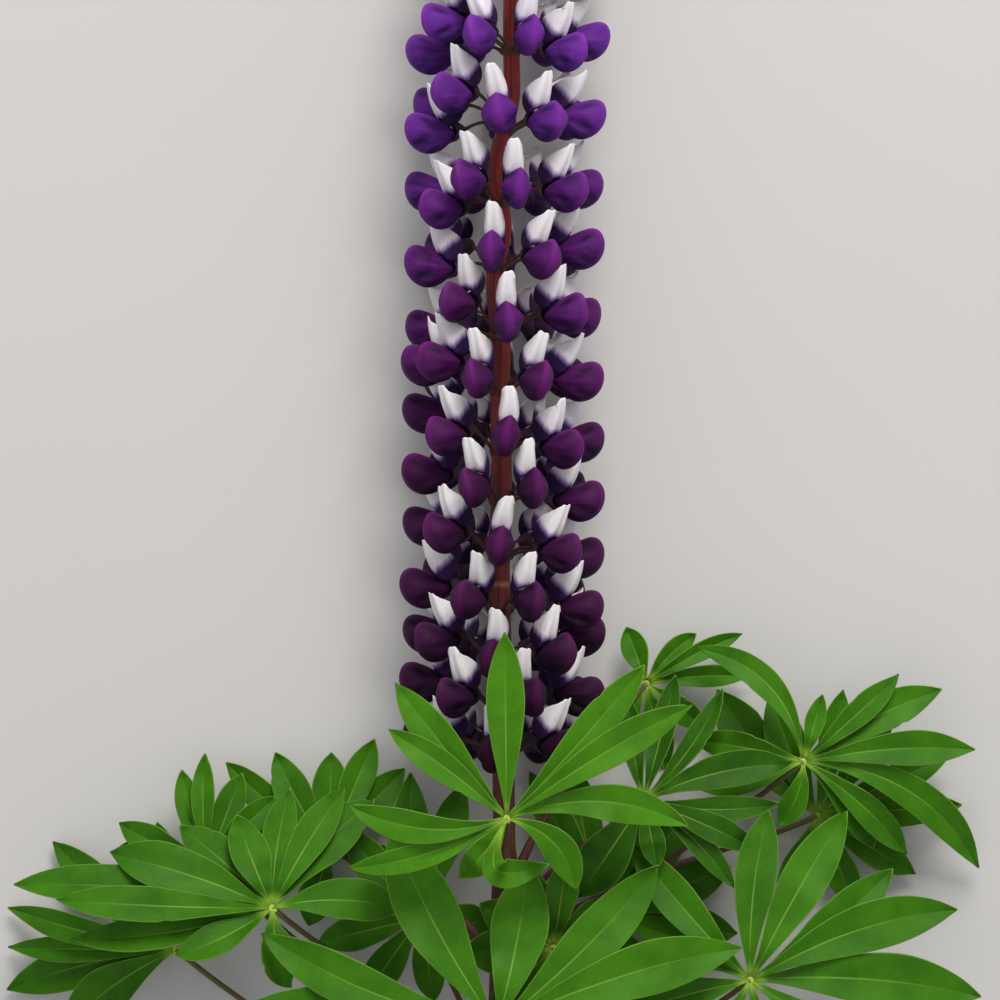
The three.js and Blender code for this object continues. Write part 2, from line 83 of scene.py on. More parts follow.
# The swollen node of the stem under a whorl.
NODE_LEVELS = (-2.2, -2.0, -1.3, -0.6, 0, 0.6, 1.3, 2.0, 2.2)
NODE_HALF = 2.2
NODE_COLUMNS = 24
NODE_SINK = 0.35  # how far its ends lie inside the stem
NODE_SWELL = 1.0
NODE_LUMPS = (7, 0.12)  # how many, and how high

# The pouch of the two wings: its outline, its middle and its half width there.
WING_OUTLINE = [
    (15.4, 0.3), (17.9, 2.8), (20.9, 4.4), (24.0, 5.6), (27.0, 6.3), (29.4, 5.5), (30.7, 3.0),
    (30.6, -0.1), (29.2, -3.0), (26.7, -5.1), (23.5, -6.0), (20.1, -5.1), (17.1, -2.6),
]
WING_MIDDLE = (23.4, 0.2)
WING_HALF_WIDTH = 4.2
WING_ROOT = 16.0  # how far out the folds and dents spread from
WING_COLUMNS = 40
WING_ROWS = 11  # on each side
WING_CREST = 1.025  # how far the seam stands out, against the pouch
WING_FULLNESS = (0.56, 0.3)  # the power of its dome below, and what the top adds
WING_UNEVEN = 0.06  # share of its width
WING_LEAN = 0.35
# Dents in a wing's side: out, up, length, breadth, depth.
WING_DENTS = [
    (25.2, -2.6, 3.2, 1.2, 1.0), (26.0, 3.8, 2.8, 0.9, 0.55), (24.5, 0.8, 4.5, 1.1, -0.35),
]
WING_DENT_SHIFT = 0.7
WING_DENT_STRENGTH = (0.2, 1.4)
WING_FOLDS = 6
WING_FOLD_DEPTH = 0.19

# The banner folded back over the wings: its crease and its margin from the side, bottom to top.
BANNER_CREASE = [(20.0, 3.2), (21.7, 6.4), (22.9, 9.8), (23.6, 12.8), (23.9, 15.2)]
BANNER_MARGIN = [(16.6, 2.2), (14.2, 4.6), (13.6, 7.4), (15.2, 10.2), (18.8, 12.4), (22.3, 13.7)]
BANNER_HALF_WIDTH = [(0, 3.1), (0.35, 2.95), (0.8, 2.4), (1, 1.9)]
# Its section from the crease to the margin: share of the way back, share of the half width.
BANNER_SECTION = [(0, 0), (0.1, 0.5), (0.22, 0.84), (0.4, 1), (0.75, 0.96), (1, 0.8)]
BANNER_COLUMNS = (0, 0.05, 0.1, 0.17, 0.28, 0.42, 0.58, 0.74, 0.88, 0.97, 1)
BANNER_ROWS = 13
BANNER_GROOVE = (0.1, 0.045)  # its half width and its depth, as shares of the way back
BANNER_HOOD = 1.7  # how far the crease is arched over the wings at its foot
BANNER_NOTCH = 0.6  # the deepest notch in its tip
BANNER_WAVE = 0.3  # how far its upper edge waves
BANNER_SHOULDER = 1.3  # how far its upper edge falls to the sides
BANNER_STAIN = ((13.4, 9.4), (20.3, 3.5))  # the dark foot lies behind this line
PETAL_THICKNESS = 0.3

# Calyx: share of its length, half height, half width; and where it ends above, at the
# sides and below.
CALYX_CUP = [(0, 0.62, 0.62), (0.2, 1.9, 1.6), (0.5, 2.9, 2.3), (1, 3.3, 2.7)]
CALYX_START = 12.2
CALYX_ENDS = [(17.2,), (15.4,), (18.6,), (15.4,)]
CALYX_OUTER = (0, 0.1, 0.25, 0.45, 0.65, 0.85, 1)  # its rows, as shares of its length
CALYX_INNER = (0.98, 0.75, 0.4)
CALYX_WALL = 0.3
CALYX_DROOP = 1.2
CALYX_COLUMNS = 16

# A closed bud, in the same view as the flower.
BUD_OUTLINE = [
    (13.4, 1.0), (17.5, 4.2), (22.5, 5.6), (27.0, 4.8), (30.2, 2.4), (28.0, -0.4), (23.4, -3.4),
    (18.4, -3.6), (15.0, -1.8),
]
BUD_MIDDLE = (21.5, 0.9)
BUD_HALF_WIDTH = 3.7

# Whorls of open flowers: height along the stem, then (direction, lift) of each flower.
WHORLS = [
    (0, [(-154, 0), (-104, 1), (-60, 0), (-8, -1), (46, 0), (100, 0), (152, 0)]),
    (14, [(-128, 0), (-84, 4), (-36, 0.5), (19, 1), (74, 1), (126, 0), (180, 0)]),
    (28, [(-154, 0), (-106, 6), (-60, 3.5), (-8, -1), (44, -2), (102, 4), (154, 0)]),
    (43.5, [(-130, 7), (-82, 3.5), (-24, 0.5), (20, -0.5), (74, -3), (128, 0), (178, 0)]),
    (60, [(-154, 0), (-106, 6), (-50, 2.5), (-2, 0), (47, -2), (100, -5), (153, 0)]),
    (76.5, [(-130, 7), (-78, 4), (-24, 1), (24, -0.5), (76, -4), (128, 0), (180, 0)]),
    (91.5, [(-156, 2), (-106, 8), (-48, 1.5), (2, 0), (50, -2.5), (102, -1), (153, 0)]),
    (109.5, [(-132, 0), (-84, 3), (-56, 5), (-20, 0.5), (26, -0.5), (78, 0), (128, 0), (180, 0)]),
    (126, [(-158, 0), (-110, -2), (-36, 6), (2, 0), (53, 2), (104, 1.5), (154, 0)]),
    (146, [(-132, 3), (-74, -4), (-10, 0.5), (30, -0.5), (78, 2), (128, 0), (180, 0)]),
    (165.5, [(-156, 0), (-104, 0), (-54, -5), (-26, 3), (9, 0), (56, -0.5), (103, 2), (154, 0)]),
    (188, [(-113, 3), (-76, -5), (-44, 6), (-4, 0), (33, -2), (78, 0), (128, 0), (-176, 0)]),
    (211.5, [(-94, -5), (-60, 5), (-23, 0.5), (14, -0.5), (50, -4), (98, 0), (150, 0), (-150, 0)]),
]
REACH = [(0, 1.05), (70, 1.02), (120, 1), (230, 0.98)]  # by height, against a usual flower's
FLOWER_TURNS = {"roll": 5, "yaw": 3, "rise": 3}  # how unevenly flowers stand, in degrees
FLOWER_AGES = 0.04  # how unevenly they ripen

# Younger whorls: the first and the last one's distance from the one below, and size.
YOUNG_WHORLS = 8
YOUNG_PITCH = (22, 8)
YOUNG_SIZE = (0.97, 0.27)
YOUNG_RISE = 48
YOUNG_TUCK = 0.25  # how much nearer to the stem the last ones stand
YOUNG_COUNT = 7
YOUNG_START = 16
YOUNG_LIFT = 1.5

PRESS = 1.6  # how softly the surface presses the flowers that reach it
SURFACE = 0.3  # the height of the surface that everything lies on

# Buds at the tip of the stem: how many, their first and last length and lean, and how far
# from the stem's end they start.
TIP_BUDS = 22
TIP_LENGTH = (7.2, 3.4)
TIP_LEAN = (38, 4)
TIP_START = (-3, 6.5)
TIP_FATNESS = 0.24
TIP_CURVE = 0.9
TIP_ROWS = 11
GOLDEN_ANGLE = 137.5

# Leaves: hub, slope across and along, where the stalk leaves the stem and in what
# direction, how bright it is painted (darker as painted shade for leaves in the shade of
# others), and each leaflet's tip in plan, width, bow and fall.
LEAVES = {
    "leaf_front": ((2, -20, 69), (0, 0.02), (-50, -20), 1.0, [
        (-0.6, 54.6, 11.4, 0, -2), (40.5, 45, 10.6, -1, 0), (54.5, 33.2, 10.6, 1.5, 1),
        (53.4, -2.4, 10.8, 6, 4), (20.4, -21.9, 10, 5, 8), (12.5, -13.5, 9, -12.5, 9),
        (-14, -18, 9, 1, 7), (-47, -15, 8, 3, 5), (-46.5, 3.6, 9.6, 5, 3), (-34.8, 26, 9, -1, 3),
        (-32.7, 39.6, 11.4, 1, 0),
    ]),
    "leaf_low_front": ((-1, -82, 55), (0, -0.08), (-150, 10), 0.65, [
        (-70, 26.7, 14, 4, 6), (-31.5, 58, 18, 2, 4), (9.5, 47, 17, -1, 4), (48, 46.8, 15.5, -2, 4),
        (73, 22.5, 15.5, 3, 5), (72, -8, 14, 2, 7), (50, -34, 14, 2, 8), (16, -52, 13, 0, 8),
        (-20, -50, 13, 0, 8), (-54, -30, 14, -2, 8), (-78, 3, 15, -3, 7),
    ]),
    "leaf_low_right": ((74.7, -69.6, 42), (-0.02, -0.08), (-135, 60), 0.6, [
        (-35.4, 40.5, 12, 1, 8), (5.7, 50.4, 12.5, 2, 3), (29, 50, 14, 1, 3),
        (43, 32.4, 13, -2, 10), (62, 20.7, 15, 4, 3), (69, -5.4, 17, 3, 5), (46, -38, 15, 2, 8),
        (10, -52, 14, 0, 8), (-24, -44, 13, 0, 8), (-42, -12, 13, -1, 8), (-36.6, 17.4, 11, -1, 11),
    ]),
    "leaf_right": ((91.2, -5.1, 26), (0.02, -0.1), (-84, 75), 0.6, [
        (6, 20, 6, 0, 4), (29, 26, 8, 0, 6), (41.7, 21.6, 11.5, 2, 2), (51.6, 3.6, 10.5, 2, 2),
        (54, -33, 11, 9, 23), (31.8, -28.5, 9, 2, 16), (21.4, -26.7, 10, 3, 14),
        (-7.8, -19.5, 8, 2, 5), (-30, -9, 9, 0, 6), (-33, 6, 9, -1, 9), (-31.8, 34.2, 9, -8, 2),
    ]),
    "leaf_inner_right": ((43, -16.2, 36), (0.06, -0.3), (-52, 60), 0.0, [
        (-4, 30, 7, 1, 2), (10, 37, 8, 0, 2), (24, 33, 7, -2, 2), (44.4, 10.8, 11, 3, 1),
        (40.5, -1, 8, -2, 5), (34, -15, 9, 1, 9), (27, -26, 7, 2, 6), (4, -20, 8, 0, 2),
        (-20, -29, 15, 0, 6),
    ]),
    "leaf_left": ((-68, -48.2, 40), (-0.1, -0.5), (-108, -70), 0.55, [
        (-77, 7, 14, -3, 4), (-64, 3, 12, 0, 6), (-48.6, 16.5, 15, -2, 2), (-28, 24, 13, -1, 2),
        (-11, 27, 12, 0, 2), (4.5, 35, 10, 1, 2), (21, 35, 11, 1, 2), (30, 31.5, 14, 2, 1),
        (39, -0.6, 14, 3, 3), (5.7, -24, 12, -1, 14), (-28.5, -13.5, 11, 1, 6), (-60, -9, 11, 2, 9),
    ]),
    "leaf_back_left": ((-52, -32, 12), (-0.02, 0.05), (-62, -95), 0.55, [
        (-31, 26, 10, 1, 5), (-16, 29, 11, 1, 4), (1, 29, 11, 0, 4), (14, 33, 10, 0, 5),
        (23, 24, 10, 0, 6), (24, -6, 10, 0, 7), (-6, -24, 11, 0, 9), (-36, 10, 10, 0, 6),
    ]),
    "leaf_low_left": ((-98, -62.4, 14), (0.1, 0), (-146, -85), 0.55, [
        (-51.5, 12, 9, 1, 6), (-38, 32, 12, 1, 8), (-6, 38, 12, 0, 8), (22, 26, 12, 0, 8),
        (-34, -24, 14, -2, 7), (-52, -13, 13, -2, 6), (-51.5, 0, 8, 0, 6),
    ]),
    "leaf_back_right": ((44.4, 18, 10), (0, 0.1), (-36, 100), 0.8, [
        (-6, 17, 8, 0, 3), (15, 15, 7, 1, 2), (29, 15, 6, 1, 2), (31, 2, 7, 1, 4),
        (18, -14, 8, 0, 5), (6, -26, 9, 0, 7), (-12, -20, 8, 0, 6),
    ]),
    "leaf_mid_left": ((-24, -52, 21), (0.02, -0.05), (-96, -50), 0.35, [
        (-30, 10, 11, 1, 4), (-22, 26, 11, 1, 5), (-3, 43, 11, 1, 5), (13, 40, 11, 0, 4),
        (-31, -8, 11, 0, 5), (-18, -26, 11, 0, 6), (4, -26, 10, 0, 5), (22, -3, 11, 0, 8),
    ]),
    "leaf_mid_right": ((32, -52, 9), (0, 0), (-92, 120), 0.3, [
        (-23, 43, 11, 0, 3), (-10, 46, 12, 1, 3), (8, 35, 12, 0, 3), (26, 32, 13, 0, 3),
        (38, 14, 14, 0, 3), (40, -6, 13, 0, 3), (20, -30, 12, 0, 3), (-8, -30, 12, 0, 3),
    ]),
    "leaf_far_right": ((96, -22, 12), (0, 0.05), (-70, 110), 0.6, [
        (-30, 38, 15, 2, 4), (-14, 37, 12, 1, 4), (8, 38, 9, 0, 4), (24, 36, 9, -1, 4),
        (40, 18, 10, 0, 4), (44, 3, 10, 0, 5), (30, -18, 10, 0, 6), (12, -28, 10, 0, 6),
        (-10, -28, 10, 0, 6),
    ]),
    "leaf_far_left": ((-88, -36, 20), (0, -0.05), (-122, -80), 0.6, [
        (-28, 4, 10, 0, 4), (-27, 12, 10, 1, 4), (-8, 28, 8, 1, 2), (-1, 33, 7, 1, 1),
        (10, 27, 9, 0, 3), (20, 20, 9, 0, 4), (-14, -22, 9, 0, 5),
    ]),
    "leaf_centre": ((16, -60, 41), (0, 0), (-100, 35), 0.35, [
        (-27, -2, 13, 0, 3), (-22, 13, 12, 0, 2), (-8, 24, 11, 1, 3), (4, 26, 10, 0, 4),
        (18, 14, 10, 0, 4), (22, -4, 10, 0, 4), (-18, -18, 11, 0, 3), (8, -22, 11, 0, 4),
    ]),
}
LEAF_ARCH = 0.05
LEAFLET_ROWS = 30
LEAFLET_COLUMNS = (-1, -0.94, -0.75, -0.5, -0.26, -0.09, 0, 0.09, 0.26, 0.5, 0.75, 0.94, 1)
LEAFLET_KEEL = 1.5
LEAFLET_OPENED = [(0, 0.5), (0.15, 0.6), (0.5, 1.0), (0.8, 0.9), (1, 0.5)]  # share of the keel
LEAFLET_CLEAR = 0.55  # between leaflets that lie on one another
LEAFLET_NEAR = 1.8  # leaflets closer than this in plan lie on one another
LEAFLET_ROLL = 0.05  # how much leaflets slope across
LEAFLET_RIPPLE = 0.045  # share of its width
LEAFLET_UNEVEN = 0.05  # share of its width
LEAFLET_CURLED = 10  # leaflets with a greater bow than this lie on top
LEAFLET_THICKNESS = 0.32
LEAFLET_BASE = 0.55  # half width of the leaflet's own short stalk
LEAFLET_TONES = 0.06  # how unevenly they are lit
# Small bites in leaflets' margins: how many have one, and its half length and depth.
LEAFLET_BITTEN = 0.3
LEAFLET_BITE = (0.02, 0.1)
# The disc where the leaflets meet: height and radius of its rows.
HUB_LEVELS = (-1.4, -1.2, -0.6, 0, 0.35, 0.6, 0.72)
HUB_RADII = (0.35, 0.8, 1.45, 1.75, 1.6, 1.0, 0.4)
HUB_SINK = 0.4
HUB_LOBES = 11
# A leaf's stalk: its radius at the stem and at the hub, and its bends as shares of its length.
PETIOLE_RADIUS = (1.5, 0.85)
PETIOLE_LEAVE = (0.12, 0.3)
PETIOLE_ARRIVE = (0.3, 0.12)
PETIOLE_GROOVE = 0.12
PETIOLE_ROWS = 48
PETIOLE_COLUMNS = 14

# How far apart in the noise the surfaces of separate petals and leaves lie.
PETAL_PATTERNS = 50
LEAF_PATTERNS = 90
# Random numbers start from these, with the number of the whorl or leaf.
NODE_SEED = 99
TIP_SEED = 500
STEM_SEED = 7
LEAF_SEED = 900
LEAF_STALK_SEED = 77

# ---------------------------------------------------------------- curves and placing


def spline(points, t, closed=False):
    """A smooth curve through points, at shares t of the way along them."""
    points = np.asarray(points, float)
    count = len(points)
    spans = count if closed else count - 1
    s = np.asarray(t, float) * spans
    i = np.clip(np.floor(s).astype(int), 0, spans - 1)
    f = (s - i)[..., None]

    def at(k):
        return points[k % count] if closed else points[np.clip(k, 0, count - 1)]

    a, b, c, d = at(i - 1), at(i), at(i + 1), at(i + 2)
    return b + 0.5 * f * (c - a + f * (2 * a - 5 * b + 4 * c - d + f * (3 * (b - c) + d - a)))


def bezier(points, t):
    """A Bezier curve of three or four points, at shares t."""
    t = np.asarray(t, float)[:, None]
    order = len(points) - 1
    return sum(
        math.comb(order, k) * (1 - t) ** (order - k) * t**k * np.asarray(p, float)
        for k, p in enumerate(points)
    )


def smoothstep(low, high, x):
    t = np.clip((np.asarray(x, float) - low) / (high - low), 0, 1)
    return t * t * (3 - 2 * t)


def between(knots, y):
    """Values between knots, eased so that each knot is a smooth turn."""
    knots = np.asarray(knots, float)
    y = np.asarray(y, float)
    i = np.clip(np.searchsorted(knots[:, 0], y) - 1, 0, len(knots) - 2)
    t = smoothstep(0, 1, (y - knots[i, 0]) / (knots[i + 1, 0] - knots[i, 0]))[..., None]
    return knots[i, 1:] * (1 - t) + knots[i + 1, 1:] * t


def lerp(pair, share):
    return pair[0] + (pair[1] - pair[0]) * share


def bell(x, breadth):
    return np.exp(-((x / breadth) ** 2))


def eased(rows, times):
    """Rows drawn towards the rows beside them."""
    for _ in range(times):
        rows[1:-1] = (rows[:-2] + 2 * rows[1:-1] + rows[2:]) / 4
    return rows


def unit(v):
    return v / np.linalg.norm(v, axis=-1, keepdims=True)


def phase(rng):
    return rng.uniform(0, 6.3)


def waves(t, orders, rng, fall=1):
    """A random curve of a few waves, the shorter the lower."""
    return sum(rng.normal() * np.sin(k * np.pi * t + phase(rng)) / k**fall for k in orders)


def turns(columns):
    """The angle of each column round a tube."""
    return np.arange(columns) * 2 * np.pi / columns


def on_path(path, y):
    x, z = np.moveaxis(between(path, y), -1, 0)
    return np.stack([x, np.broadcast_to(np.asarray(y, float), x.shape), z], -1)


def stem_radius(y):
    return between(STEM_RADIUS, y)[..., 0]


def stem_lean(y):
    """The stem's own direction at a height, and the two directions across it."""
    along = unit(on_path(STEM_PATH, y + 1) - on_path(STEM_PATH, y - 1))
    across = unit(np.cross(along, [0.0, 0.0, 1.0]))
    return along, across, np.cross(across, along)


def round_stem(direction):
    angle = np.radians(direction)
    return np.array([np.sin(angle), 0, np.cos(angle)])


def pressed(points):
    """The surface presses what reaches it, and nothing goes through it."""
    z = points[..., 2]
    points[..., 2] = np.maximum(0.5 * (z + np.hypot(z, PRESS)), SURFACE)
    return points


def above(points, height):
    points[..., 2] = np.maximum(points[..., 2], height)
    return points


def grain(*coordinates):
    """Where the points of a surface lie in its texture."""
    return np.stack(np.broadcast_arrays(*coordinates), -1)


def circle(angle, start, quarter):
    """Directions at angles that turn from one direction to another across it."""
    return np.cos(angle)[..., None] * start + np.sin(angle)[..., None] * quarter


def rounds(line, radius, columns, upright=(0, 0, 1)):
    """Rings of points round a line, one for each of its points, and the angle of each column."""
    tangent = unit(np.gradient(line, axis=0))
    side = unit(np.cross(tangent, np.asarray(upright, float)))
    up = np.cross(side, tangent)
    angle = turns(columns)
    ring = circle(angle, side[:, None], up[:, None])
    return line[:, None] + ring * radius[:, None, None], angle


OFFSET = np.array(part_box("flower_stem")[0]) - np.array(STEM_LOW_CORNER) * MM


def in_frame(point):
    return np.asarray(point, float) * MM + OFFSET


def add(name, data):
    """A new object of the scene."""
    made = bpy.data.objects.new(name, data)
    bpy.context.scene.collection.objects.link(made)
    return made


# ---------------------------------------------------------------- mesh code


def band(rows, columns):
    """The faces between rows that close into rings, and their corners' columns and rows."""
    i, j = (a.ravel() for a in np.mgrid[0 : rows - 1, 0:columns])
    k = (j + 1) % columns
    row = np.stack([i, i, i + 1, i + 1], 1)
    return row * columns + np.stack([j, k, k, j], 1), np.stack([j, j + 1, j + 1, j], 1), row


def spread(values, rows, columns):
    """Each value at every point of a grid."""
    made = {}
    for name, value in values.items():
        value = np.asarray(value, float)
        if value.ndim < 3:
            value = np.broadcast_to(value, (rows, columns))[..., None]
        made[name] = np.array(np.broadcast_to(value, (rows, columns, value.shape[-1])))
    return made


class Piece:
    """Closed surfaces gathered into one object, with values at their corners for its material."""

    def __init__(self):
        self.points = []
        self.values = []
        self.polygons = {3: [], 4: []}
        self.places = {3: [], 4: []}
        self.charts = 0
        self.count = 0

    def _add(self, points, values, surface):
        """One closed surface: faces and where their corners lie in its own chart."""
        volume = 0
        for faces, _ in surface:
            for k in range(1, faces.shape[1] - 1):
                a, b, c = (points[faces[:, i]] for i in (0, k, k + 1))
                volume += np.einsum("ij,ij->", a, np.cross(b, c))
        for faces, place in surface:
            if volume < 0:
                faces, place = faces[:, ::-1], place[:, ::-1]
            size = faces.shape[1]
            self.polygons[size].append(faces + self.count)
            chart = np.full(place.shape[:2] + (1,), self.charts, float)
            self.places[size].append(np.concatenate([place, chart], -1))
        self.points.append(points)
        self.values.append(values)
        self.charts += 1
        self.count += len(points)

    def tube(self, points, **values):
        """Rows of points round a closed form, whose two ends close at the middle of their row."""
        rows, columns = points.shape[:2]
        quads, across, row = band(rows, columns)
        quad_places = np.stack([across / columns, (row + 1) / (rows + 1)], -1)
        j = np.arange(columns)
        k = (j + 1) % columns
        pole, last, edge = rows * columns, (rows - 1) * columns, 1 / (rows + 1)
        fans = [
            np.stack([np.full(columns, pole), k, j], 1),
            np.stack([np.full(columns, pole + 1), last + j, last + k], 1),
        ]
        across = [np.stack([j + 0.5, j + 1, j], 1), np.stack([j + 0.5, j, j + 1], 1)]
        down = np.repeat([[0, edge, edge], [1, 1 - edge, 1 - edge]], columns, axis=0)
        fan_places = np.stack([np.concatenate(across) / columns, down], -1)
        points = np.concatenate([points.reshape(-1, 3), [points[0].mean(0), points[-1].mean(0)]])
        values = {
            name: np.concatenate([v.reshape(pole, -1), np.stack([v[0].mean(0), v[-1].mean(0)])])
            for name, v in spread(values, rows, columns).items()
        }
        self._add(points, values, [(quads, quad_places), (np.concatenate(fans), fan_places)])

    def sheet(self, middle, thickness, **values):
        """A sheet of the given thickness about a grid of points. Its value under is 1 below."""
        rows, columns = middle.shape[:2]
        along, across = np.gradient(middle, axis=(0, 1))
        normal = unit(np.cross(across, along))
        offset = normal * np.broadcast_to(thickness, (rows, columns))[..., None] / 2
        points = np.concatenate([middle + offset, (middle - offset)[:, ::-1]], 1)
        ring = 2 * columns
        values = {
            name: np.concatenate([v, v[:, ::-1]], 1).reshape(rows * ring, -1)
            for name, v in spread(values, rows, columns).items()
        }
        values["under"] = np.tile(np.repeat([0.0, 1.0], columns), rows)[:, None]
        quads, across, row = band(rows, ring)
        j = np.arange(columns - 1)
        first = np.stack([j + 1, j, ring - 1 - j, ring - 2 - j], 1)
        last = first[:, ::-1] + (rows - 1) * ring
        edge = np.stack([j + 1, j, j, j + 1], 1) / ring
        down = np.array([0, 0, 0.02, 0.02]) * np.ones((columns - 1, 1))
        across = np.concatenate([across / ring, edge, edge[:, ::-1]])
        down = np.concatenate([row / (rows - 1), down, 1 - down])
        faces = np.concatenate([quads, first, last])
        self._add(points.reshape(-1, 3), values, [(faces, np.stack([across, down], -1))])

    def build(self, name, material, slot, node):
        """The finished object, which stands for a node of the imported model."""
        mesh = bpy.data.meshes.new(name)
        points = in_frame(np.concatenate(self.points))
        mesh.vertices.add(len(points))
        mesh.vertices.foreach_set("co", points.astype(np.float32).ravel())
        groups = [(k, np.concatenate(v)) for k, v in self.polygons.items() if v]
        corners = np.concatenate([faces.ravel() for _, faces in groups])
        sizes = np.concatenate([np.full(len(faces), k) for k, faces in groups])
        mesh.loops.add(len(corners))
        mesh.loops.foreach_set("vertex_index", corners.astype(np.int32))
        mesh.polygons.add(len(sizes))
        starts = np.concatenate([[0], np.cumsum(sizes)[:-1]]).astype(np.int32)
        mesh.polygons.foreach_set("loop_start", starts)
        mesh.update(calc_edges=True)
        mesh.shade_smooth()
        for value in self.values[0]:
            data = np.concatenate([v[value] for v in self.values]).astype(np.float32)
            kind, field = ("FLOAT", "value") if data.shape[1] == 1 else ("FLOAT_VECTOR", "vector")
            mesh.attributes.new(value, kind, "POINT").data.foreach_set(field, data.ravel())
        places = np.concatenate([np.concatenate(self.places[k]).reshape(-1, 3) for k, _ in groups])
        side = math.ceil(math.sqrt(self.charts))
        cell = np.stack([places[:, 2] % side, places[:, 2] // side], 1)
        uv = (cell + 0.03 + 0.94 * places[:, :2]) / side
        mesh.uv_layers.new(name="OFBake").data.foreach_set("uv", uv.astype(np.float32).ravel())
        mesh.materials.append(material)
        made = add(name, mesh)
        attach(made, "root")
        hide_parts(node)


# ---------------------------------------------------------------- materials


def rgb(hexadecimal):
    """A colour from its sRGB number, as Blender's linear values."""
    parts = [int(hexadecimal[i : i + 2], 16) / 255 for i in (1, 3, 5)]
    linear = [c / 12.92 if c <= 0.04045 else ((c + 0.055) / 1.055) ** 2.4 for c in parts]
    return (*linear, 1)


class Material:
    """A Principled material and short calls for its nodes. Colours are given as sRGB numbers."""

    def __init__(self, name, **surface):
        self.material = bpy.data.materials.new(name)
        self.material.use_nodes = True
        self.tree = self.material.node_tree
        self.surface = self.tree.nodes["Principled BSDF"]
        for socket, value in surface.items():
            value = rgb(value) if isinstance(value, str) else value
            self.surface.inputs[socket.replace("_", " ")].default_value = value

    def node(self, kind, inputs, **settings):
        made = self.tree.nodes.new(kind)
        for name, value in settings.items():
            setattr(made, name, value)
        for name, value in inputs.items():
            if isinstance(value, bpy.types.NodeSocket):
                self.tree.links.new(value, made.inputs[name])
            else:
                value = rgb(value) if isinstance(value, str) else value
                made.inputs[name].default_value = value
        return made

    def value(self, name):
        return self.node("ShaderNodeAttribute", {}, attribute_name=name).outputs["Fac"]

    def vector(self, name):
        return self.node("ShaderNodeAttribute", {}, attribute_name=name).outputs["Vector"]

    def part(self, vector, axis):
        return self.node("ShaderNodeSeparateXYZ", {"Vector": vector}).outputs[axis]

    def place(self):
        return self.node("ShaderNodeTexCoord", {}).outputs["Object"]

    def stretched(self, vector, scale):
        inputs = {0: vector, 1: scale}
        return self.node("ShaderNodeVectorMath", inputs, operation="MULTIPLY").outputs[0]

    def noise(self, vector, scale, detail=3, roughness=0.55):
        inputs = {"Vector": vector, "Scale": scale, "Detail": detail, "Roughness": roughness}
        return self.node("ShaderNodeTexNoise", inputs).outputs["Fac"]

    def math(self, operation, a, b=0.0):
        return self.node("ShaderNodeMath", {0: a, 1: b}, operation=operation).outputs[0]

    def times(self, a, b):
        return self.math("MULTIPLY", a, b)

    def plus(self, a, b):
        return self.math("ADD", a, b)

    def step(self, value, low, high, start=0.0, end=1.0):
        """A smooth change from start to end as value goes from low to high."""
        inputs = {"Value": value, 1: low, 2: high, 3: start, 4: end}
        settings = {"interpolation_type": "SMOOTHSTEP"}
        return self.node("ShaderNodeMapRange", inputs, **settings).outputs["Result"]

    def mix(self, share, a, b):
        inputs = {0: share, 6: a, 7: b}
        return self.node("ShaderNodeMix", inputs, data_type="RGBA").outputs[2]

    def ramp(self, share, *stops):
        made = self.node("ShaderNodeValToRGB", {"Fac": share})
        elements = made.color_ramp.elements
        while len(elements) < len(stops):
            elements.new(0.5)
        for element, (place, color) in zip(elements, stops):
            element.position = place
            element.color = rgb(color)
        return made.outputs["Color"]

    def finish(self, color, height, distance, strength=1.0):
        """Sets the colour, and a bump of the given height in metres."""
        self.tree.links.new(color, self.surface.inputs["Base Color"])
        inputs = {"Height": height, "Distance": distance, "Strength": strength}
        bump = self.node("ShaderNodeBump", inputs)
        self.tree.links.new(bump.outputs["Normal"], self.surface.inputs["Normal"])
        return self.material


def wing_material():
    """Velvety petals: blackish purple in the lower whorls, partly as painted shade, violet above,
    each wing painted lighter towards its top, with painted shade in its dents and folds and a
    magenta seam that is partly a painted highlight.
    """
    m = Material(
        "lupin_wing", Roughness=0.6, Sheen_Weight=0.02, Sheen_Roughness=0.4,
        Sheen_Tint="#8a50b8", Specular_IOR_Level=0.13,
    )
    age = m.value("age")
    streak = m.noise(m.vector("grain"), 1.0, 4, 0.6)
    cloud = m.noise(m.place(), 160, 2)
    # Darker in the lower, older whorls; the lowest stops are darkened further as painted shade
    # under the leaves.
    body = m.ramp(
        age, (0, "#2d0c2b"), (0.3, "#431142"), (0.6, "#54175a"), (0.8, "#5b1e76"), (1, "#692b94")
    )
    deep = m.ramp(age, (0, "#120511"), (0.5, "#210925"), (1, "#2c1449"))
    rim = m.ramp(age, (0, "#561748"), (0.5, "#7f2380"), (1, "#8f33ae"))
    shade = m.plus(m.times(streak, 1.3), m.times(cloud, 0.5))
    # Painted light: lift makes each wing lighter towards its top and outer end, as if lit from
    # above.
    shade = m.plus(shade, m.times(m.value("lift"), 0.75))
    color = m.mix(m.step(shade, 0.62, 1.5), deep, body)
    # Painted shade darkens the wing's dents and fold valleys.
    color = m.mix(m.times(m.value("hollow"), 0.9), color, deep)
    # The seam's magenta is partly the petal's own colour and partly a painted highlight.
    color = m.mix(m.times(m.value("rim"), 0.65), color, rim)
    fine = m.noise(m.place(), 5200, 1)
    return m.finish(color, m.plus(streak, m.times(fine, 0.15)), 0.0004)


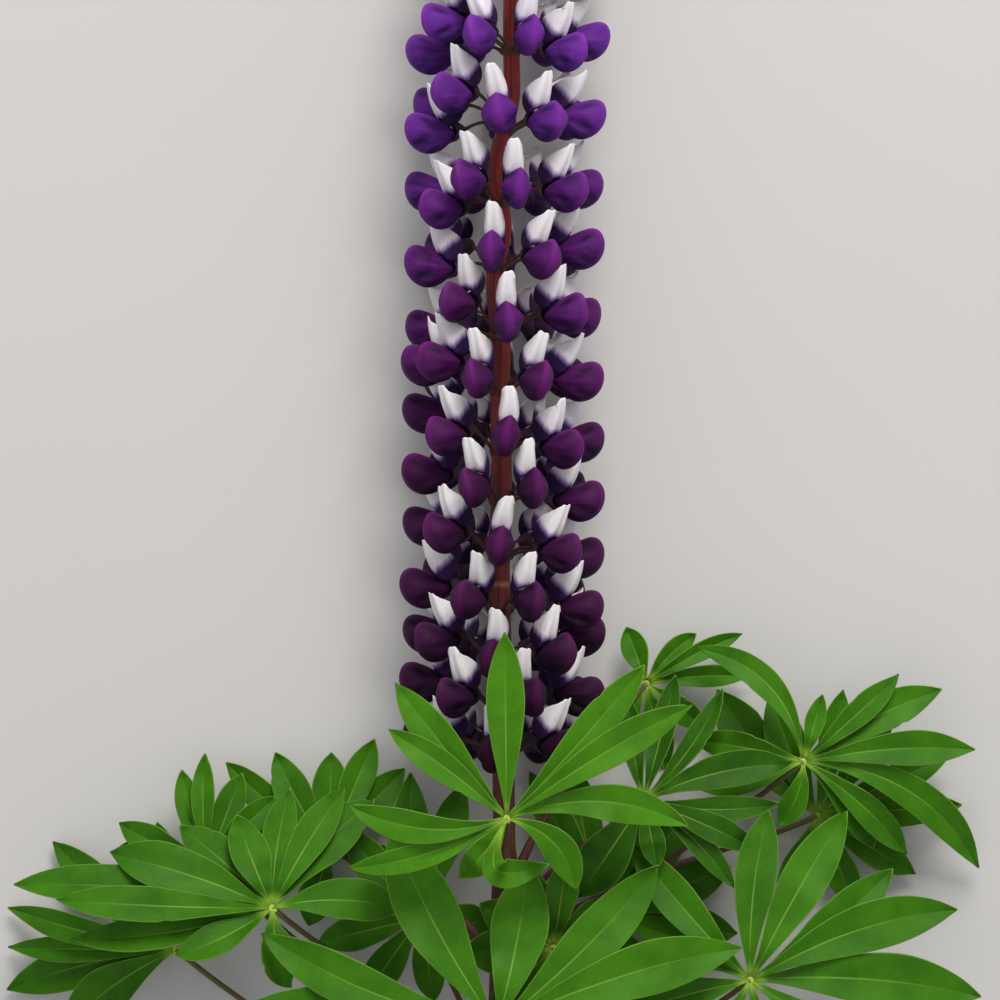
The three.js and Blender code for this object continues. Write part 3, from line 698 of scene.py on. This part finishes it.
def banner_material():
    """White folded petal, lilac and then indigo towards its foot, its tip a little dry."""
    m = Material(
        "lupin_banner", Roughness=0.6, Specular_IOR_Level=0.2,
        Subsurface_Weight=0.12, Subsurface_Scale=0.002, Subsurface_Radius=(1.0, 0.85, 1.0),
    )
    streak = m.noise(m.vector("grain"), 1.0, 4, 0.6)
    moved = m.plus(m.value("stain"), m.times(m.math("SUBTRACT", streak, 0.5), 0.3))
    color = m.mix(m.step(streak, 0.35, 0.7), "#f7eef2", "#fefafb")
    color = m.mix(m.step(moved, 0.2, 0.48), color, "#a07fba")
    color = m.mix(m.step(moved, 0.38, 0.64), color, "#29113f")
    color = m.mix(m.times(m.value("tip"), 0.4), color, "#cdbb9c")
    return m.finish(color, streak, 0.0002)


def calyx_material():
    """Downy calyx, and the flower's stalk and node below it."""
    m = Material(
        "lupin_calyx", Roughness=0.75, Sheen_Weight=0.15, Sheen_Roughness=0.5,
        Sheen_Tint="#a58b9a",
    )
    down = m.noise(m.stretched(m.vector("grain"), (9, 1.2, 1)), 1.0, 3, 0.7)
    stalk = m.ramp(m.value("age"), (0, "#4a1f1c"), (0.5, "#5a2218"), (1, "#55301f"))
    cup = m.mix(m.step(down, 0.4, 0.68), "#1d0b24", "#3c1f3a")
    color = m.mix(m.step(m.value("tone"), 0.3, 0.7), stalk, cup)
    color = m.mix(m.step(down, 0.64, 0.82), color, "#6a4a3c")
    return m.finish(color, down, 0.0004)


def bud_material():
    """Downy young buds, violet and then grey-green and downier towards the tip of the stem."""
    m = Material(
        "lupin_bud", Roughness=0.7, Sheen_Weight=0.35, Sheen_Roughness=0.45,
        Sheen_Tint="#c9c4d6",
    )
    down = m.noise(m.stretched(m.vector("grain"), (10, 1, 1)), 1.0, 3, 0.65)
    age = m.value("age")
    body = m.ramp(age, (0.7, "#55308f"), (0.84, "#6c6296"), (0.93, "#748070"), (1, "#7c8a63"))
    hairs = m.times(m.step(down, 0.35, 0.7), m.step(age, 0.7, 0.95, 0.2, 0.55))
    color = m.mix(hairs, body, "#aeb4b0")
    color = m.mix(m.times(m.value("rim"), 0.5), color, "#b9b3d0")
    return m.finish(color, down, 0.0003)


def stem_material():
    """Maroon stem with fine lengthwise ribs, greener in its lower part, and a pale cut end."""
    m = Material("lupin_stem", Roughness=0.48, Specular_IOR_Level=0.4)
    tone, cut = m.value("tone"), m.value("cut")
    rib = m.noise(m.stretched(m.vector("grain"), (5.0, 0.035, 1)), 1.0, 3, 0.6)
    blotch = m.noise(m.stretched(m.vector("grain"), (0.8, 0.09, 1)), 1.0, 3, 0.6)
    maroon = (0.42, "#70201c"), (0.75, "#92181a"), (1, "#63402c")
    body = m.ramp(tone, (0, "#5f6a2c"), (0.25, "#5b4a25"), *maroon)
    dark = m.ramp(tone, (0, "#46321c"), (0.4, "#4c1415"), (1, "#5c1014"))
    color = m.mix(m.step(m.plus(rib, blotch), 0.75, 1.25), dark, body)
    color = m.mix(m.value("scar"), color, "#b0725a")
    pith = m.mix(m.step(cut, 0.5, 0.95), "#8fa05a", "#e2e3c0")
    color = m.mix(m.step(cut, 0.02, 0.2), color, pith)
    return m.finish(color, m.plus(rib, m.times(blotch, 0.5)), 0.0003)


def leaf_material():
    """Satin green leaf: pale midrib and margin, faint side veins, greyer below."""
    m = Material(
        "lupin_leaf", Roughness=0.46, Specular_IOR_Level=0.1,
        Subsurface_Weight=0.06, Subsurface_Scale=0.001, Subsurface_Radius=(0.6, 1.0, 0.3),
    )
    texture, tone = m.vector("grain"), m.value("tone")
    along = m.part(texture, "X")
    side = m.math("ABSOLUTE", m.part(texture, "Y"))
    wobble = m.times(m.noise(texture, 0.35, 2), 3.0)
    path = m.plus(m.math("SUBTRACT", along, m.times(side, 1.5)), wobble)
    vein = m.math("ABSOLUTE", m.math("SINE", m.times(path, 0.85)))
    line = m.step(vein, 0.0, 0.3, 1.0, 0.0)
    cloud = m.noise(m.place(), 90, 4)
    speck = m.noise(texture, 2.4, 3, 0.7)
    # The leaf's tone darkens whole leaves as painted shade, for those that lie in the shade of
    # others.
    bright = m.ramp(tone, (0, "#35680c"), (0.4, "#3f770f"), (0.7, "#468212"), (1, "#4e8c14"))
    dark = m.ramp(tone, (0, "#25500a"), (0.4, "#2f620c"), (0.7, "#366c0e"), (1, "#3e7510"))
    share = m.plus(m.times(cloud, 1.4), m.times(speck, 0.6))
    color = m.mix(m.step(share, 0.65, 1.35), dark, bright)
    color = m.mix(m.times(line, 0.04), color, "#7fae3a")
    color = m.mix(m.times(m.value("under"), 0.55), color, "#5f8650")
    color = m.mix(m.step(along, 0.0, 6.0, 0.75, 0.0), color, "#9dc23c")
    fading = m.step(m.value("share"), 0.3, 0.97, 0.5, 0.0)
    color = m.mix(m.times(m.step(side, 0.1, 0.42, 1.0, 0.0), fading), color, "#94bb48")
    color = m.mix(m.step(m.value("across"), 0.94, 1.0, 0.0, 0.4), color, "#98b950")
    return m.finish(color, m.plus(m.times(line, -0.1), m.times(speck, 0.4)), 0.0002, 0.7)


def stalk_material():
    """Leaf stalk, flushed with reddish brown towards the stem, and the pale hub of the leaf."""
    m = Material("lupin_leaf_stalk", Roughness=0.5)
    tone = m.value("tone")
    streak = m.noise(m.stretched(m.vector("grain"), (4, 0.05, 1)), 1.0, 3, 0.6)
    body = m.ramp(tone, (0, "#5a261f"), (0.45, "#60342a"), (0.75, "#6b6a31"), (1, "#a3c455"))
    color = m.mix(m.step(streak, 0.35, 0.7, 0.45, 0.0), body, "#4a2a1c")
    color = m.mix(m.step(tone, 0.85, 1.0), color, "#bcd45e")
    return m.finish(color, streak, 0.0003)


# ---------------------------------------------------------------- flowers


def place_in(flower, out, up, side):
    """Puts points of the flower's side view, and their distance to the side, where they are."""
    outward = round_stem(flower["direction"])
    along = np.array([0.0, 1.0, 0.0])
    rise, roll, yaw = (math.radians(flower[turn]) for turn in ("rise", "roll", "yaw"))
    size = flower["size"]
    u, v, s = (out - CALYX[0]) * size, (up - CALYX[1]) * size, side * size
    v, s = v * math.cos(roll) - s * math.sin(roll), v * math.sin(roll) + s * math.cos(roll)
    s = s + u * math.tan(yaw)
    reach = CALYX[0] * flower["reach"] + u * math.cos(rise) - v * math.sin(rise)
    climb = CALYX[1] + u * math.sin(rise) + v * math.cos(rise)
    middle = on_path(SPIKE_AXIS, flower["height"])
    point = middle + reach[..., None] * outward + climb[..., None] * along
    return pressed(point + s[..., None] * np.cross(outward, along))


def pouch(piece, flower, outline, middle, half_width, rng):
    """Two petals that meet in a seam: from one side's middle, over the seam, to the other's."""
    middle = np.array(middle)
    edge = spline(outline, np.arange(WING_COLUMNS) / WING_COLUMNS, closed=True)[None]
    level = np.linspace(-1, 1, 2 * WING_ROWS + 1)[1:-1, None]
    reach = np.cos(np.pi / 2 * level)
    top = smoothstep(-0.2, 1.0, (edge[..., 1] - middle[1]) / 6.0)
    front = smoothstep(0.0, 1.0, (edge[..., 0] - middle[0]) / 7.0)
    crest = 1 + (WING_CREST - 1) * np.maximum(top, front) * smoothstep(0.12, 0, np.abs(level))
    out, up = np.moveaxis(middle + (edge - middle) * (reach * crest)[..., None], -1, 0)
    dome = np.clip(1 - reach**2.5, 0, 1) ** (WING_FULLNESS[0] + WING_FULLNESS[1] * top)
    width = half_width * (1 + WING_UNEVEN * rng.normal()) * dome
    # Painted shade in the dents and in the valleys of the folds, darker where they are deeper.
    hollow = np.zeros_like(width)
    for dent_out, dent_up, length, breadth, depth in WING_DENTS:
        dent_out += WING_DENT_SHIFT * rng.normal()
        angle = math.atan2(dent_up, dent_out - WING_ROOT)
        a = (out - dent_out) * math.cos(angle) + (up - dent_up) * math.sin(angle)
        b = (up - dent_up) * math.cos(angle) - (out - dent_out) * math.sin(angle)
        deep = np.exp(-((a / length) ** 2) - (b / breadth) ** 2)
        strength = np.where(level < 0, *rng.uniform(*WING_DENT_STRENGTH, 2))
        width -= depth * strength * deep * dome
        hollow = np.maximum(hollow, deep * strength * np.sign(depth))
    toward = np.arctan2(up - 0.2, out - WING_ROOT)
    distance = np.hypot(out - WING_ROOT, up)
    phases = rng.uniform(0, 2 * np.pi, (2, 3))
    folds = sum(
        np.sin(WING_FOLDS * k * toward + np.where(level < 0, *phases[:, k - 1])) / k
        for k in (1, 2, 3)
    )
    fade = smoothstep(1.5, 6, distance) * smoothstep(1.0, 0.7, reach)
    hollow = np.maximum(hollow, np.clip(-0.45 * folds - 0.1, 0, 0.7) * fade)
    width += WING_FOLD_DEPTH * folds * fade * dome
    lean = WING_LEAN * rng.normal() * (up / 6.0) ** 2
    piece.tube(
        place_in(flower, out, up, np.sign(level) * width + lean),
        age=flower["age"],
        # rim: the magenta seam, partly its own colour and partly a painted highlight, strongest at
        # the top and the outer end.
        rim=smoothstep(0.88, 1.0, reach) * np.clip(0.05 + np.maximum(top, 0.6 * front), 0, 1),
        hollow=hollow,
        # lift: painted light, lighter towards the wing's top and a little towards its outer end.
        lift=smoothstep(-6.5, 6.0, up + 0.25 * (out - middle[0])),
        grain=grain(toward * 7, distance * 0.22, np.sign(level) + rng.uniform(0, PETAL_PATTERNS)),
    )


def banner(piece, flower, rng):
    """The banner, folded back on itself with its crease to the front."""
    u = np.array(BANNER_COLUMNS)
    column = np.concatenate([-u[:0:-1], u])[None]
    v = np.linspace(0, 1, BANNER_ROWS)[:, None]
    u, sign = np.abs(column), np.sign(column)
    groove, groove_depth = BANNER_GROOVE
    back = np.where(u < groove, groove_depth * (1 - u / groove) ** 2, (u - groove) / (1 - groove))
    crease, margin = spline(BANNER_CREASE, v), spline(BANNER_MARGIN, v)
    out, up = np.moveaxis(crease * (1 - back[..., None]) + margin * back[..., None], -1, 0)
    up = up + BANNER_HOOD * (1 - v) ** 2 * np.clip(1 - u / 0.3, 0, 1)
    notch = rng.uniform(0, BANNER_NOTCH) * bell(u, 0.12)
    wave = BANNER_WAVE * np.sin(2 * np.pi * column + phase(rng))
    up = up + v**6 * (wave - notch - BANNER_SHOULDER * smoothstep(0.05, 0.6, u))
    half = between(BANNER_HALF_WIDTH, v)[..., 0]
    section = between(BANNER_SECTION, u)[..., 0]
    flare = 1 + rng.uniform(-0.25, 0.12) * smoothstep(0.5, 1, u) * sign * 0.5
    uneven = 1 + 0.07 * rng.normal() * sign
    curl = rng.uniform(-0.12, 0.1) * smoothstep(0.6, 1, u) * smoothstep(0, 0.6, v)
    side = sign * half * (section * flare * uneven + curl)
    side = side + 0.5 * rng.normal() * v**2
    start, end = (np.array(p) for p in BANNER_STAIN)
    line = unit(end - start)
    behind = (out - start[0]) * line[1] - (up - start[1]) * line[0]
    piece.sheet(
        place_in(flower, out, up, side),
        PETAL_THICKNESS * flower["size"],
        stain=smoothstep(-5.5, 3.4, behind),
        tip=smoothstep(0.94, 1, v) * rng.uniform(0, 0.9) * np.ones_like(u),
        grain=grain(u * 7, up * 0.12, sign + rng.uniform(0, PETAL_PATTERNS)),
    )


def calyx(piece, flower, rng):
    """The cup that holds the petals, with an upper and a lower lip."""
    angle = turns(CALYX_COLUMNS)[None]
    end = spline(CALYX_ENDS, angle / (2 * np.pi), closed=True)[..., 0]
    t = np.array([*CALYX_OUTER, *CALYX_INNER])[:, None]
    wall = np.repeat([0, CALYX_WALL], [len(CALYX_OUTER), len(CALYX_INNER)])[:, None]
    high, wide = np.moveaxis(between(CALYX_CUP, t), -1, 0)
    swell = 1 + 0.05 * np.sin(5 * angle + phase(rng))
    out = CALYX_START + (end - CALYX_START) * t
    up = CALYX[1] - CALYX_DROOP * t + np.cos(angle) * (high - wall) * swell
    side = np.sin(angle) * (wide - wall) * swell
    texture = grain(angle, out, rng.uniform(0, PETAL_PATTERNS))
    tone = 0.5 + 0.5 * smoothstep(0, 0.3, t)
    piece.tube(place_in(flower, out, up, side), tone=tone, age=flower["age"], grain=texture)


def stalk(piece, flower, base, rng):
    """The flower's own thin stalk, from the node to the calyx."""
    along, across, upright = stem_lean(base)
    outward = round_stem(flower["direction"])
    tilted = across * outward[0] + upright * outward[2]
    foot = on_path(STEM_PATH, base) + tilted * stem_radius(base)
    foot = foot + along * STALK_SHIFT * flower["lift"]
    tip = place_in(flower, np.array(CALYX_START + 0.5), np.array(CALYX[1]), np.array(0.0))
    span = np.linalg.norm(tip - foot)
    climb = STALK_BEND[1] + 0.05 * rng.normal()
    bend = foot + tilted * span * STALK_BEND[0] + along * span * climb
    t = np.linspace(0, 1, 9)
    at_foot, thin, at_tip = STALK_RADIUS
    radius = np.interp(t, [0, 0.16, 0.8, 1], [at_foot, thin, thin, at_tip])
    points, angle = rounds(bezier([foot, bend, tip], t), radius * flower["size"] ** 0.5, 8, along)
    t = t[:, None]
    texture = grain(angle, t * span, rng.uniform(0, PETAL_PATTERNS))
    tone = 0.3 * smoothstep(0.7, 1, t)
    piece.tube(pressed(points), tone=tone, age=flower["age"], grain=texture)


def node_ring(piece, base, age, rng):
    """The swollen node of the stem that carries a whorl."""
    along, across, upright = stem_lean(base)
    y = np.array(NODE_LEVELS)[:, None]
    angle = turns(NODE_COLUMNS)[None]
    lumps, lump = NODE_LUMPS
    radius = stem_radius(base) - NODE_SINK
    radius = radius + NODE_SWELL * np.cos(y / NODE_HALF * np.pi / 2) ** 0.8
    radius = radius + lump * np.sin(lumps * angle + phase(rng)) * (1 - (y / NODE_HALF) ** 2)
    centre = on_path(STEM_PATH, base) + y[..., None] * along
    points = centre + circle(angle, upright, across) * radius[..., None]
    texture = grain(angle, y, rng.uniform(0, PETAL_PATTERNS))
    piece.tube(points, tone=0.0, age=age, grain=texture)


def flower_at(direction, height, lift, size, reach, rise=0):
    """A flower: where it stands and how large it is, before its own unevenness."""
    place = {"direction": direction, "lift": lift, "height": height + lift}
    return place | {"size": size, "reach": reach, "rise": rise, "roll": 0, "yaw": 0}


def all_whorls():
    """Each whorl as its height and its flowers, from the lowest to the youngest."""
    whorls = []
    for height, flowers in WHORLS:
        reach = float(between(REACH, height)[0])
        whorls.append((height, [flower_at(d, height, lift, 1, reach) for d, lift in flowers]))
    for k in range(YOUNG_WHORLS):
        age = k / (YOUNG_WHORLS - 1)
        height += lerp(YOUNG_PITCH, age)
        size = lerp(YOUNG_SIZE, age)
        reach = size * (1 - YOUNG_TUCK * age)
        made = []
        for i in range(YOUNG_COUNT):
            direction = YOUNG_START + (i + (k % 2) / 2) * 360 / YOUNG_COUNT
            lift = YOUNG_LIFT * size * math.sin(5 * i + 2 * k)
            made.append(flower_at(direction, height, lift, size, reach, YOUNG_RISE * age))
        whorls.append((height, made))
    return whorls


def build_whorls(bud):
    wing, banner_petal, green = wing_material(), banner_material(), calyx_material()
    whorls = all_whorls()
    top = whorls[-1][0]
    for number, (height, flowers) in enumerate(whorls, 1):
        node = f"whorl_{number:02d}"
        size = flowers[0]["size"]
        base = height - STALK_DROP * size
        closed = size <= OPEN_SIZE
        ripeness = min(1, height / OPEN_TOP)
        age = max(0.0, (height - OPEN_TOP) / (top - OPEN_TOP)) if closed else ripeness
        wings, banners, calyces = Piece(), Piece(), Piece()
        node_ring(calyces, base, ripeness, np.random.default_rng([number, NODE_SEED]))
        for i, flower in enumerate(flowers):
            rng = np.random.default_rng([number, i])
            for turn, uneven in FLOWER_TURNS.items():
                flower[turn] += uneven * rng.normal()
            flower["age"] = np.clip(age + FLOWER_AGES * rng.normal(), 0, 1)
            stalk(calyces, flower, base, rng)
            calyx(calyces, flower, rng)
            if closed:
                pouch(wings, flower, BUD_OUTLINE, BUD_MIDDLE, BUD_HALF_WIDTH, rng)
            else:
                pouch(wings, flower, WING_OUTLINE, WING_MIDDLE, WING_HALF_WIDTH, rng)
                banner(banners, flower, rng)
        calyces.build(f"{node}_calyces", green, "calyx", node)
        if closed:
            wings.build(f"{node}_buds", bud, "bud", node)
        else:
            wings.build(f"{node}_wings", wing, "wing_petal", node)
            banners.build(f"{node}_banners", banner_petal, "banner_petal", node)


def build_tip(bud):
    """The youngest buds, packed round the end of the stem in a spiral."""
    piece = Piece()
    end = on_path(STEM_PATH, STEM_PATH[-1][0])
    along = np.array([0, 1, 0])
    t = np.linspace(0.02, 0.98, TIP_ROWS)
    for i in range(TIP_BUDS):
        rng = np.random.default_rng([TIP_SEED, i])
        share = i / (TIP_BUDS - 1)
        outward = round_stem(GOLDEN_ANGLE * i)
        lean = math.radians(lerp(TIP_LEAN, share))
        direction = outward * math.sin(lean) + along * math.cos(lean)
        length = lerp(TIP_LENGTH, share) * rng.uniform(0.9, 1.1)
        foot = end + along * lerp(TIP_START, share) + outward * 1.5 * (1 - share)
        line = foot + direction * length * t[:, None] + along * TIP_CURVE * (t**2)[:, None]
        radius = TIP_FATNESS * length * np.sin(np.pi * t**0.8) ** 0.75 * (1 - 0.25 * t)
        points, angle = rounds(line, radius, 12, outward + np.array([0, 0.01, 0]))
        texture = grain(angle, t[:, None] * 4, rng.uniform(0, PETAL_PATTERNS))
        rim = smoothstep(0.75, 1, t)[:, None]
        piece.tube(points, age=0.85 + 0.15 * share, rim=rim, grain=texture)
    piece.build("bud_tip_buds", bud, "bud", "bud_tip")


# ---------------------------------------------------------------- stem


def build_stem():
    piece = Piece()
    foot, top = STEM_PATH[0][0], STEM_PATH[-1][0]
    ends = np.array(STEM_CUT_ROWS)
    heights = np.arange(foot + 0.15, top, STEM_STEP)
    y = np.concatenate([np.full(len(ends), foot), heights, [top]])
    share = np.concatenate([ends, np.ones(len(heights) + 1)])[:, None]
    rng = np.random.default_rng(STEM_SEED)
    centre = on_path(STEM_PATH, y)
    centre[: len(ends), 1] += STEM_DISH * (1 - ends**2)
    cut = np.zeros(len(y))
    cut[: len(ends)] = 1 - 0.5 * ends
    y, cut = y[:, None], cut[:, None]
    angle = turns(STEM_COLUMNS)
    twist = 0.012 * y + phase(rng)
    rib = STEM_RIB_DEPTH * np.sin(STEM_RIBS * (angle + twist * 0.3))
    rib = rib + 0.05 * np.sin(3 * angle + 0.11 * y)
    radius = stem_radius(y) * share + rib * share**3
    for _, _, (at, towards), *_ in LEAVES.values():
        facing = 0.5 + 0.5 * np.cos(angle - math.radians(towards))
        radius = radius + LEAF_FOOT[1] * bell(y - at, LEAF_FOOT[0]) * facing**1.5 * share**3
    ring = circle(angle, np.array([0, 0, 1]), np.array([1, 0, 0]))
    points = above(centre[:, None] + ring * radius[..., None], SURFACE)
    tone = (y - foot) / (top - foot)
    scar = bell(y - STEM_SCAR[0], STEM_SCAR[1]) * STEM_SCAR[2]
    piece.tube(points, tone=tone, cut=cut, scar=scar, grain=grain(angle, y, 0.0))
    piece.build("flower_stem_skin", stem_material(), "stem", "flower_stem")


# ---------------------------------------------------------------- leaves


def leaf_normal(slope):
    return unit(np.array([-slope[0], -slope[1], 1.0]))


def leaflet_shape(t):
    """Share of the full width along a leaflet: broadest beyond the middle, and pointed."""
    return np.sin(np.pi * np.clip(t, 0, 1) ** 1.5) ** 0.78


def lift_over(points, below, hub):
    """How far each row of a leaflet rises to clear the leaflets that it lies on."""
    if not below:
        return 0
    below = np.concatenate(below)
    apart = np.linalg.norm(points[:, :, None, :2] - below[:, :2], axis=-1)
    height = np.where(apart < LEAFLET_NEAR, below[:, 2], -np.inf).max(-1)
    rise = np.maximum(height + LEAFLET_CLEAR - points[..., 2], 0).max(1)
    rise = np.maximum(rise, np.maximum(np.roll(rise, 1), np.roll(rise, -1)))
    rise = eased(rise, 4)
    away = np.linalg.norm(points[:, points.shape[1] // 2] - hub, axis=-1)
    return (rise * smoothstep(2, 9, away))[:, None]


def half_widths(t, rib, tangent, side, width, sign, rng):
    """How far a leaflet reaches to each side of its rib, narrower inside a tight bend."""
    half = width / 2 * leaflet_shape(t)
    half = half * (1 + LEAFLET_UNEVEN * waves(t, (2, 3, 5, 8), rng))
    least = np.interp(t, [0, 0.12, 0.2, 0.97, 1], [LEAFLET_BASE] * 3 + [0.2, 0.06])
    half = np.maximum(half, least)
    step = np.linalg.norm(np.gradient(rib, axis=0), axis=1)
    bend = np.sum(np.gradient(tangent, axis=0) * side, axis=1) / step
    half = np.minimum(half[:, None], 0.8 / np.maximum(bend[:, None] * sign, 0.01))
    return eased(half, 3)


def leaflet(piece, hub, slope, tone, shape, below, rng):
    """One leaflet, laid on those that it crosses. Returns its points."""
    across, along, width, bow, fall = shape
    length = math.hypot(across, along)
    tip = hub + np.array([across, along, slope[0] * across + slope[1] * along - fall])
    middle = (hub + tip) / 2
    middle = middle + np.array([-along, across, 0]) * 2 * bow / length
    middle[2] += 2 * LEAF_ARCH * length + fall / 2
    start = 1.0 / length
    t = start + (1 - start) * np.linspace(0, 1, LEAFLET_ROWS) ** 0.92
    rib = bezier([hub, middle, tip], t)
    tangent = unit(2 * ((middle - hub) * (1 - t[:, None]) + (tip - middle) * t[:, None]))
    side = unit(np.cross(tangent, leaf_normal(slope)))
    up = np.cross(side, tangent)
    column = np.array(LEAFLET_COLUMNS)[None]
    size, sign = np.abs(column), np.sign(column)
    half = half_widths(t, rib, tangent, side, width, sign, rng)
    if rng.random() < LEAFLET_BITTEN:
        at, which = rng.uniform(0.35, 0.85), rng.choice([-1, 1])
        bite = bell(t[:, None] - at, LEAFLET_BITE[0]) * (sign == which)
        half = half * (1 - LEAFLET_BITE[1] * bite * size)
    opened = np.interp(t, *zip(*LEAFLET_OPENED))[:, None]
    sink = np.minimum(LEAFLET_KEEL, half) * (1 - size**0.9) * opened
    ripple = sum(waves(t, (3, 5, 8), rng, 0.6)[:, None] * (sign == s) for s in (-1, 1))
    ripple = LEAFLET_RIPPLE * width * ripple * size**2 * smoothstep(0.05, 0.3, t)[:, None]
    roll = LEAFLET_ROLL * rng.normal() * column * half
    t, lateral = t[:, None], column * half
    points = rib[:, None] + side[:, None] * lateral[..., None]
    points = points + up[:, None] * (ripple - sink + roll)[..., None]
    points[..., 2] += lift_over(points, below, hub)
    points = above(points, SURFACE + 0.3)
    texture = grain(t * length, lateral, rng.uniform(0, LEAF_PATTERNS))
    piece.sheet(
        points,
        LEAFLET_THICKNESS * (1 + 1.2 * bell(lateral, 0.7) * (1 - 0.7 * t)),
        tone=np.clip(tone + LEAFLET_TONES * rng.normal(), 0, 1),
        across=size * np.ones_like(half),
        share=t,
        grain=texture,
    )
    return points.reshape(-1, 3)


def leaf_stalk(piece, hub, from_y, towards, rng):
    """A leaf's stalk, from inside the stem in a bow to the hub, with a groove above."""
    outward = round_stem(towards)
    middle = on_path(STEM_PATH, from_y)
    radius = float(stem_radius(from_y))
    foot = middle + outward * (radius + 0.3 + PETIOLE_RADIUS[0])
    span = np.linalg.norm(foot - hub)
    leave = foot + outward * PETIOLE_LEAVE[0] * span + np.array([0, PETIOLE_LEAVE[1] * span, 0])
    arrive = hub + (foot - hub) * PETIOLE_ARRIVE[0] - np.array([0, 0, PETIOLE_ARRIVE[1] * span])
    t = np.linspace(0, 1, PETIOLE_ROWS)
    root = middle + outward * radius * 0.5 - np.array([0, 2.5, 0])
    line = np.concatenate([[root], bezier([foot, leave, arrive, hub], t)])
    t = np.concatenate([[0], t])
    thick = lerp(PETIOLE_RADIUS, np.minimum(1, 3 * t))
    thick[:2] *= [1.25, 1.15]
    points, angle = rounds(line, thick, PETIOLE_COLUMNS)
    groove = 1 - PETIOLE_GROOVE * bell(angle - np.pi / 2, 0.5)
    points = line[:, None] + (points - line[:, None]) * groove[None, :, None]
    t = t[:, None]
    texture = grain(angle, t * span, rng.uniform(0, LEAF_PATTERNS))
    piece.tube(above(points, SURFACE), tone=0.05 + 0.75 * t, grain=texture)


def leaf_hub(piece, hub, slope, rng):
    """The pale disc where the leaflets meet."""
    normal = leaf_normal(slope)
    level = np.array(HUB_LEVELS)[:, None]
    angle = turns(2 * HUB_LOBES)[None]
    across = unit(np.cross([0.0, 1.0, 0.0], normal))
    along = np.cross(normal, across)
    reach = np.array(HUB_RADII)[:, None] * (1 + 0.08 * np.cos(HUB_LOBES * angle))
    points = hub + circle(angle, across, along) * reach[..., None]
    points = points + (level - HUB_SINK)[..., None] * normal
    piece.tube(points, tone=1.0, grain=grain(angle, level, rng.uniform(0, LEAF_PATTERNS)))


def laying_order(leaflets):
    """Every second leaflet round the hub, the lower half first, and the curled ones last."""
    order = np.argsort([math.atan2(along, across) for across, along, *_ in leaflets])
    falls = [np.mean([leaflets[i][4] for i in order[first::2]]) for first in (0, 1)]
    first = int(falls[1] > falls[0])
    order = [*order[first::2], *order[1 - first :: 2]]
    return sorted(order, key=lambda i: abs(leaflets[i][3]) > LEAFLET_CURLED)


def build_leaves():
    blade, flushed = leaf_material(), stalk_material()
    for number, (name, leaf) in enumerate(LEAVES.items(), LEAF_SEED):
        hub, slope, foot, tone, leaflets = leaf
        hub = np.array(hub, float)
        blades, stem = Piece(), Piece()
        laid = []
        for i in laying_order(leaflets):
            rng = np.random.default_rng([number, i])
            laid.append(leaflet(blades, hub, slope, tone, leaflets[i], laid, rng))
        rng = np.random.default_rng([number, LEAF_STALK_SEED])
        leaf_stalk(stem, hub, *foot, rng)
        leaf_hub(stem, hub, slope, rng)
        blades.build(f"{name}_leaflets", blade, "leaf", name)
        stem.build(f"{name}_stalk", flushed, "leaf_stalk", name)


# ---------------------------------------------------------------- floor, light, camera

VIEW_MIDDLE = (0, 73.5, 30.2)  # the middle of the picture, mm
VIEW_WIDTH = 300  # what the picture shows across at that height, mm
VIEW_DISTANCE = 2000
FLOOR_HALF = 6.0  # m
WORLD_COLOR = (0.93, 0.95, 1.0, 1)
WORLD_STRENGTH = 0.4
# Lights: name, place in mm, size in m, power and colour.
LIGHTS = [
    ("key", (350, 1500, 1400), 1.0, 33, (1.0, 0.98, 0.95)),
    ("fill", (-300, -300, 1900), 1.6, 4, (0.97, 0.98, 1.0)),
]


def build_lights():
    for name, place, size, power, color in LIGHTS:
        data = bpy.data.lights.new(name, "AREA")
        data.size = size
        data.energy = power
        data.color = color
        light = add(name, data)
        light.location = in_frame(place)
        direction = Vector(in_frame(VIEW_MIDDLE)) - light.location
        light.rotation_euler = direction.to_track_quat("-Z", "Y").to_euler()


def build_stage():
    mesh = bpy.data.meshes.new("floor")
    half = FLOOR_HALF
    corners = [(-half, -half, 0), (half, -half, 0), (half, half, 0), (-half, half, 0)]
    mesh.from_pydata(corners, [], [(0, 1, 2, 3)])
    m = Material("floor_paper", Roughness=0.9)
    cloud = m.noise(m.place(), 3, 3)
    mesh.materials.append(m.finish(m.mix(cloud, "#d0cdca", "#d8d5d2"), cloud, 0.0001))
    add("floor", mesh)
    world = bpy.data.worlds.new("studio")
    bpy.context.scene.world = world
    world.use_nodes = True
    background = world.node_tree.nodes["Background"]
    background.inputs["Color"].default_value = WORLD_COLOR
    background.inputs["Strength"].default_value = WORLD_STRENGTH
    bpy.context.scene.view_settings.view_transform = "Standard"


def build_camera():
    data = bpy.data.cameras.new("camera")
    data.sensor_width = 36
    data.lens = data.sensor_width * VIEW_DISTANCE / VIEW_WIDTH
    data.clip_end = 20
    camera = add("camera", data)
    camera.location = in_frame(VIEW_MIDDLE) + np.array([0, 0, VIEW_DISTANCE * MM])
    bpy.context.scene.camera = camera


build_camera()
build_stage()
build_lights()
buds = bud_material()
build_whorls(buds)
build_tip(buds)
build_stem()
build_leaves()
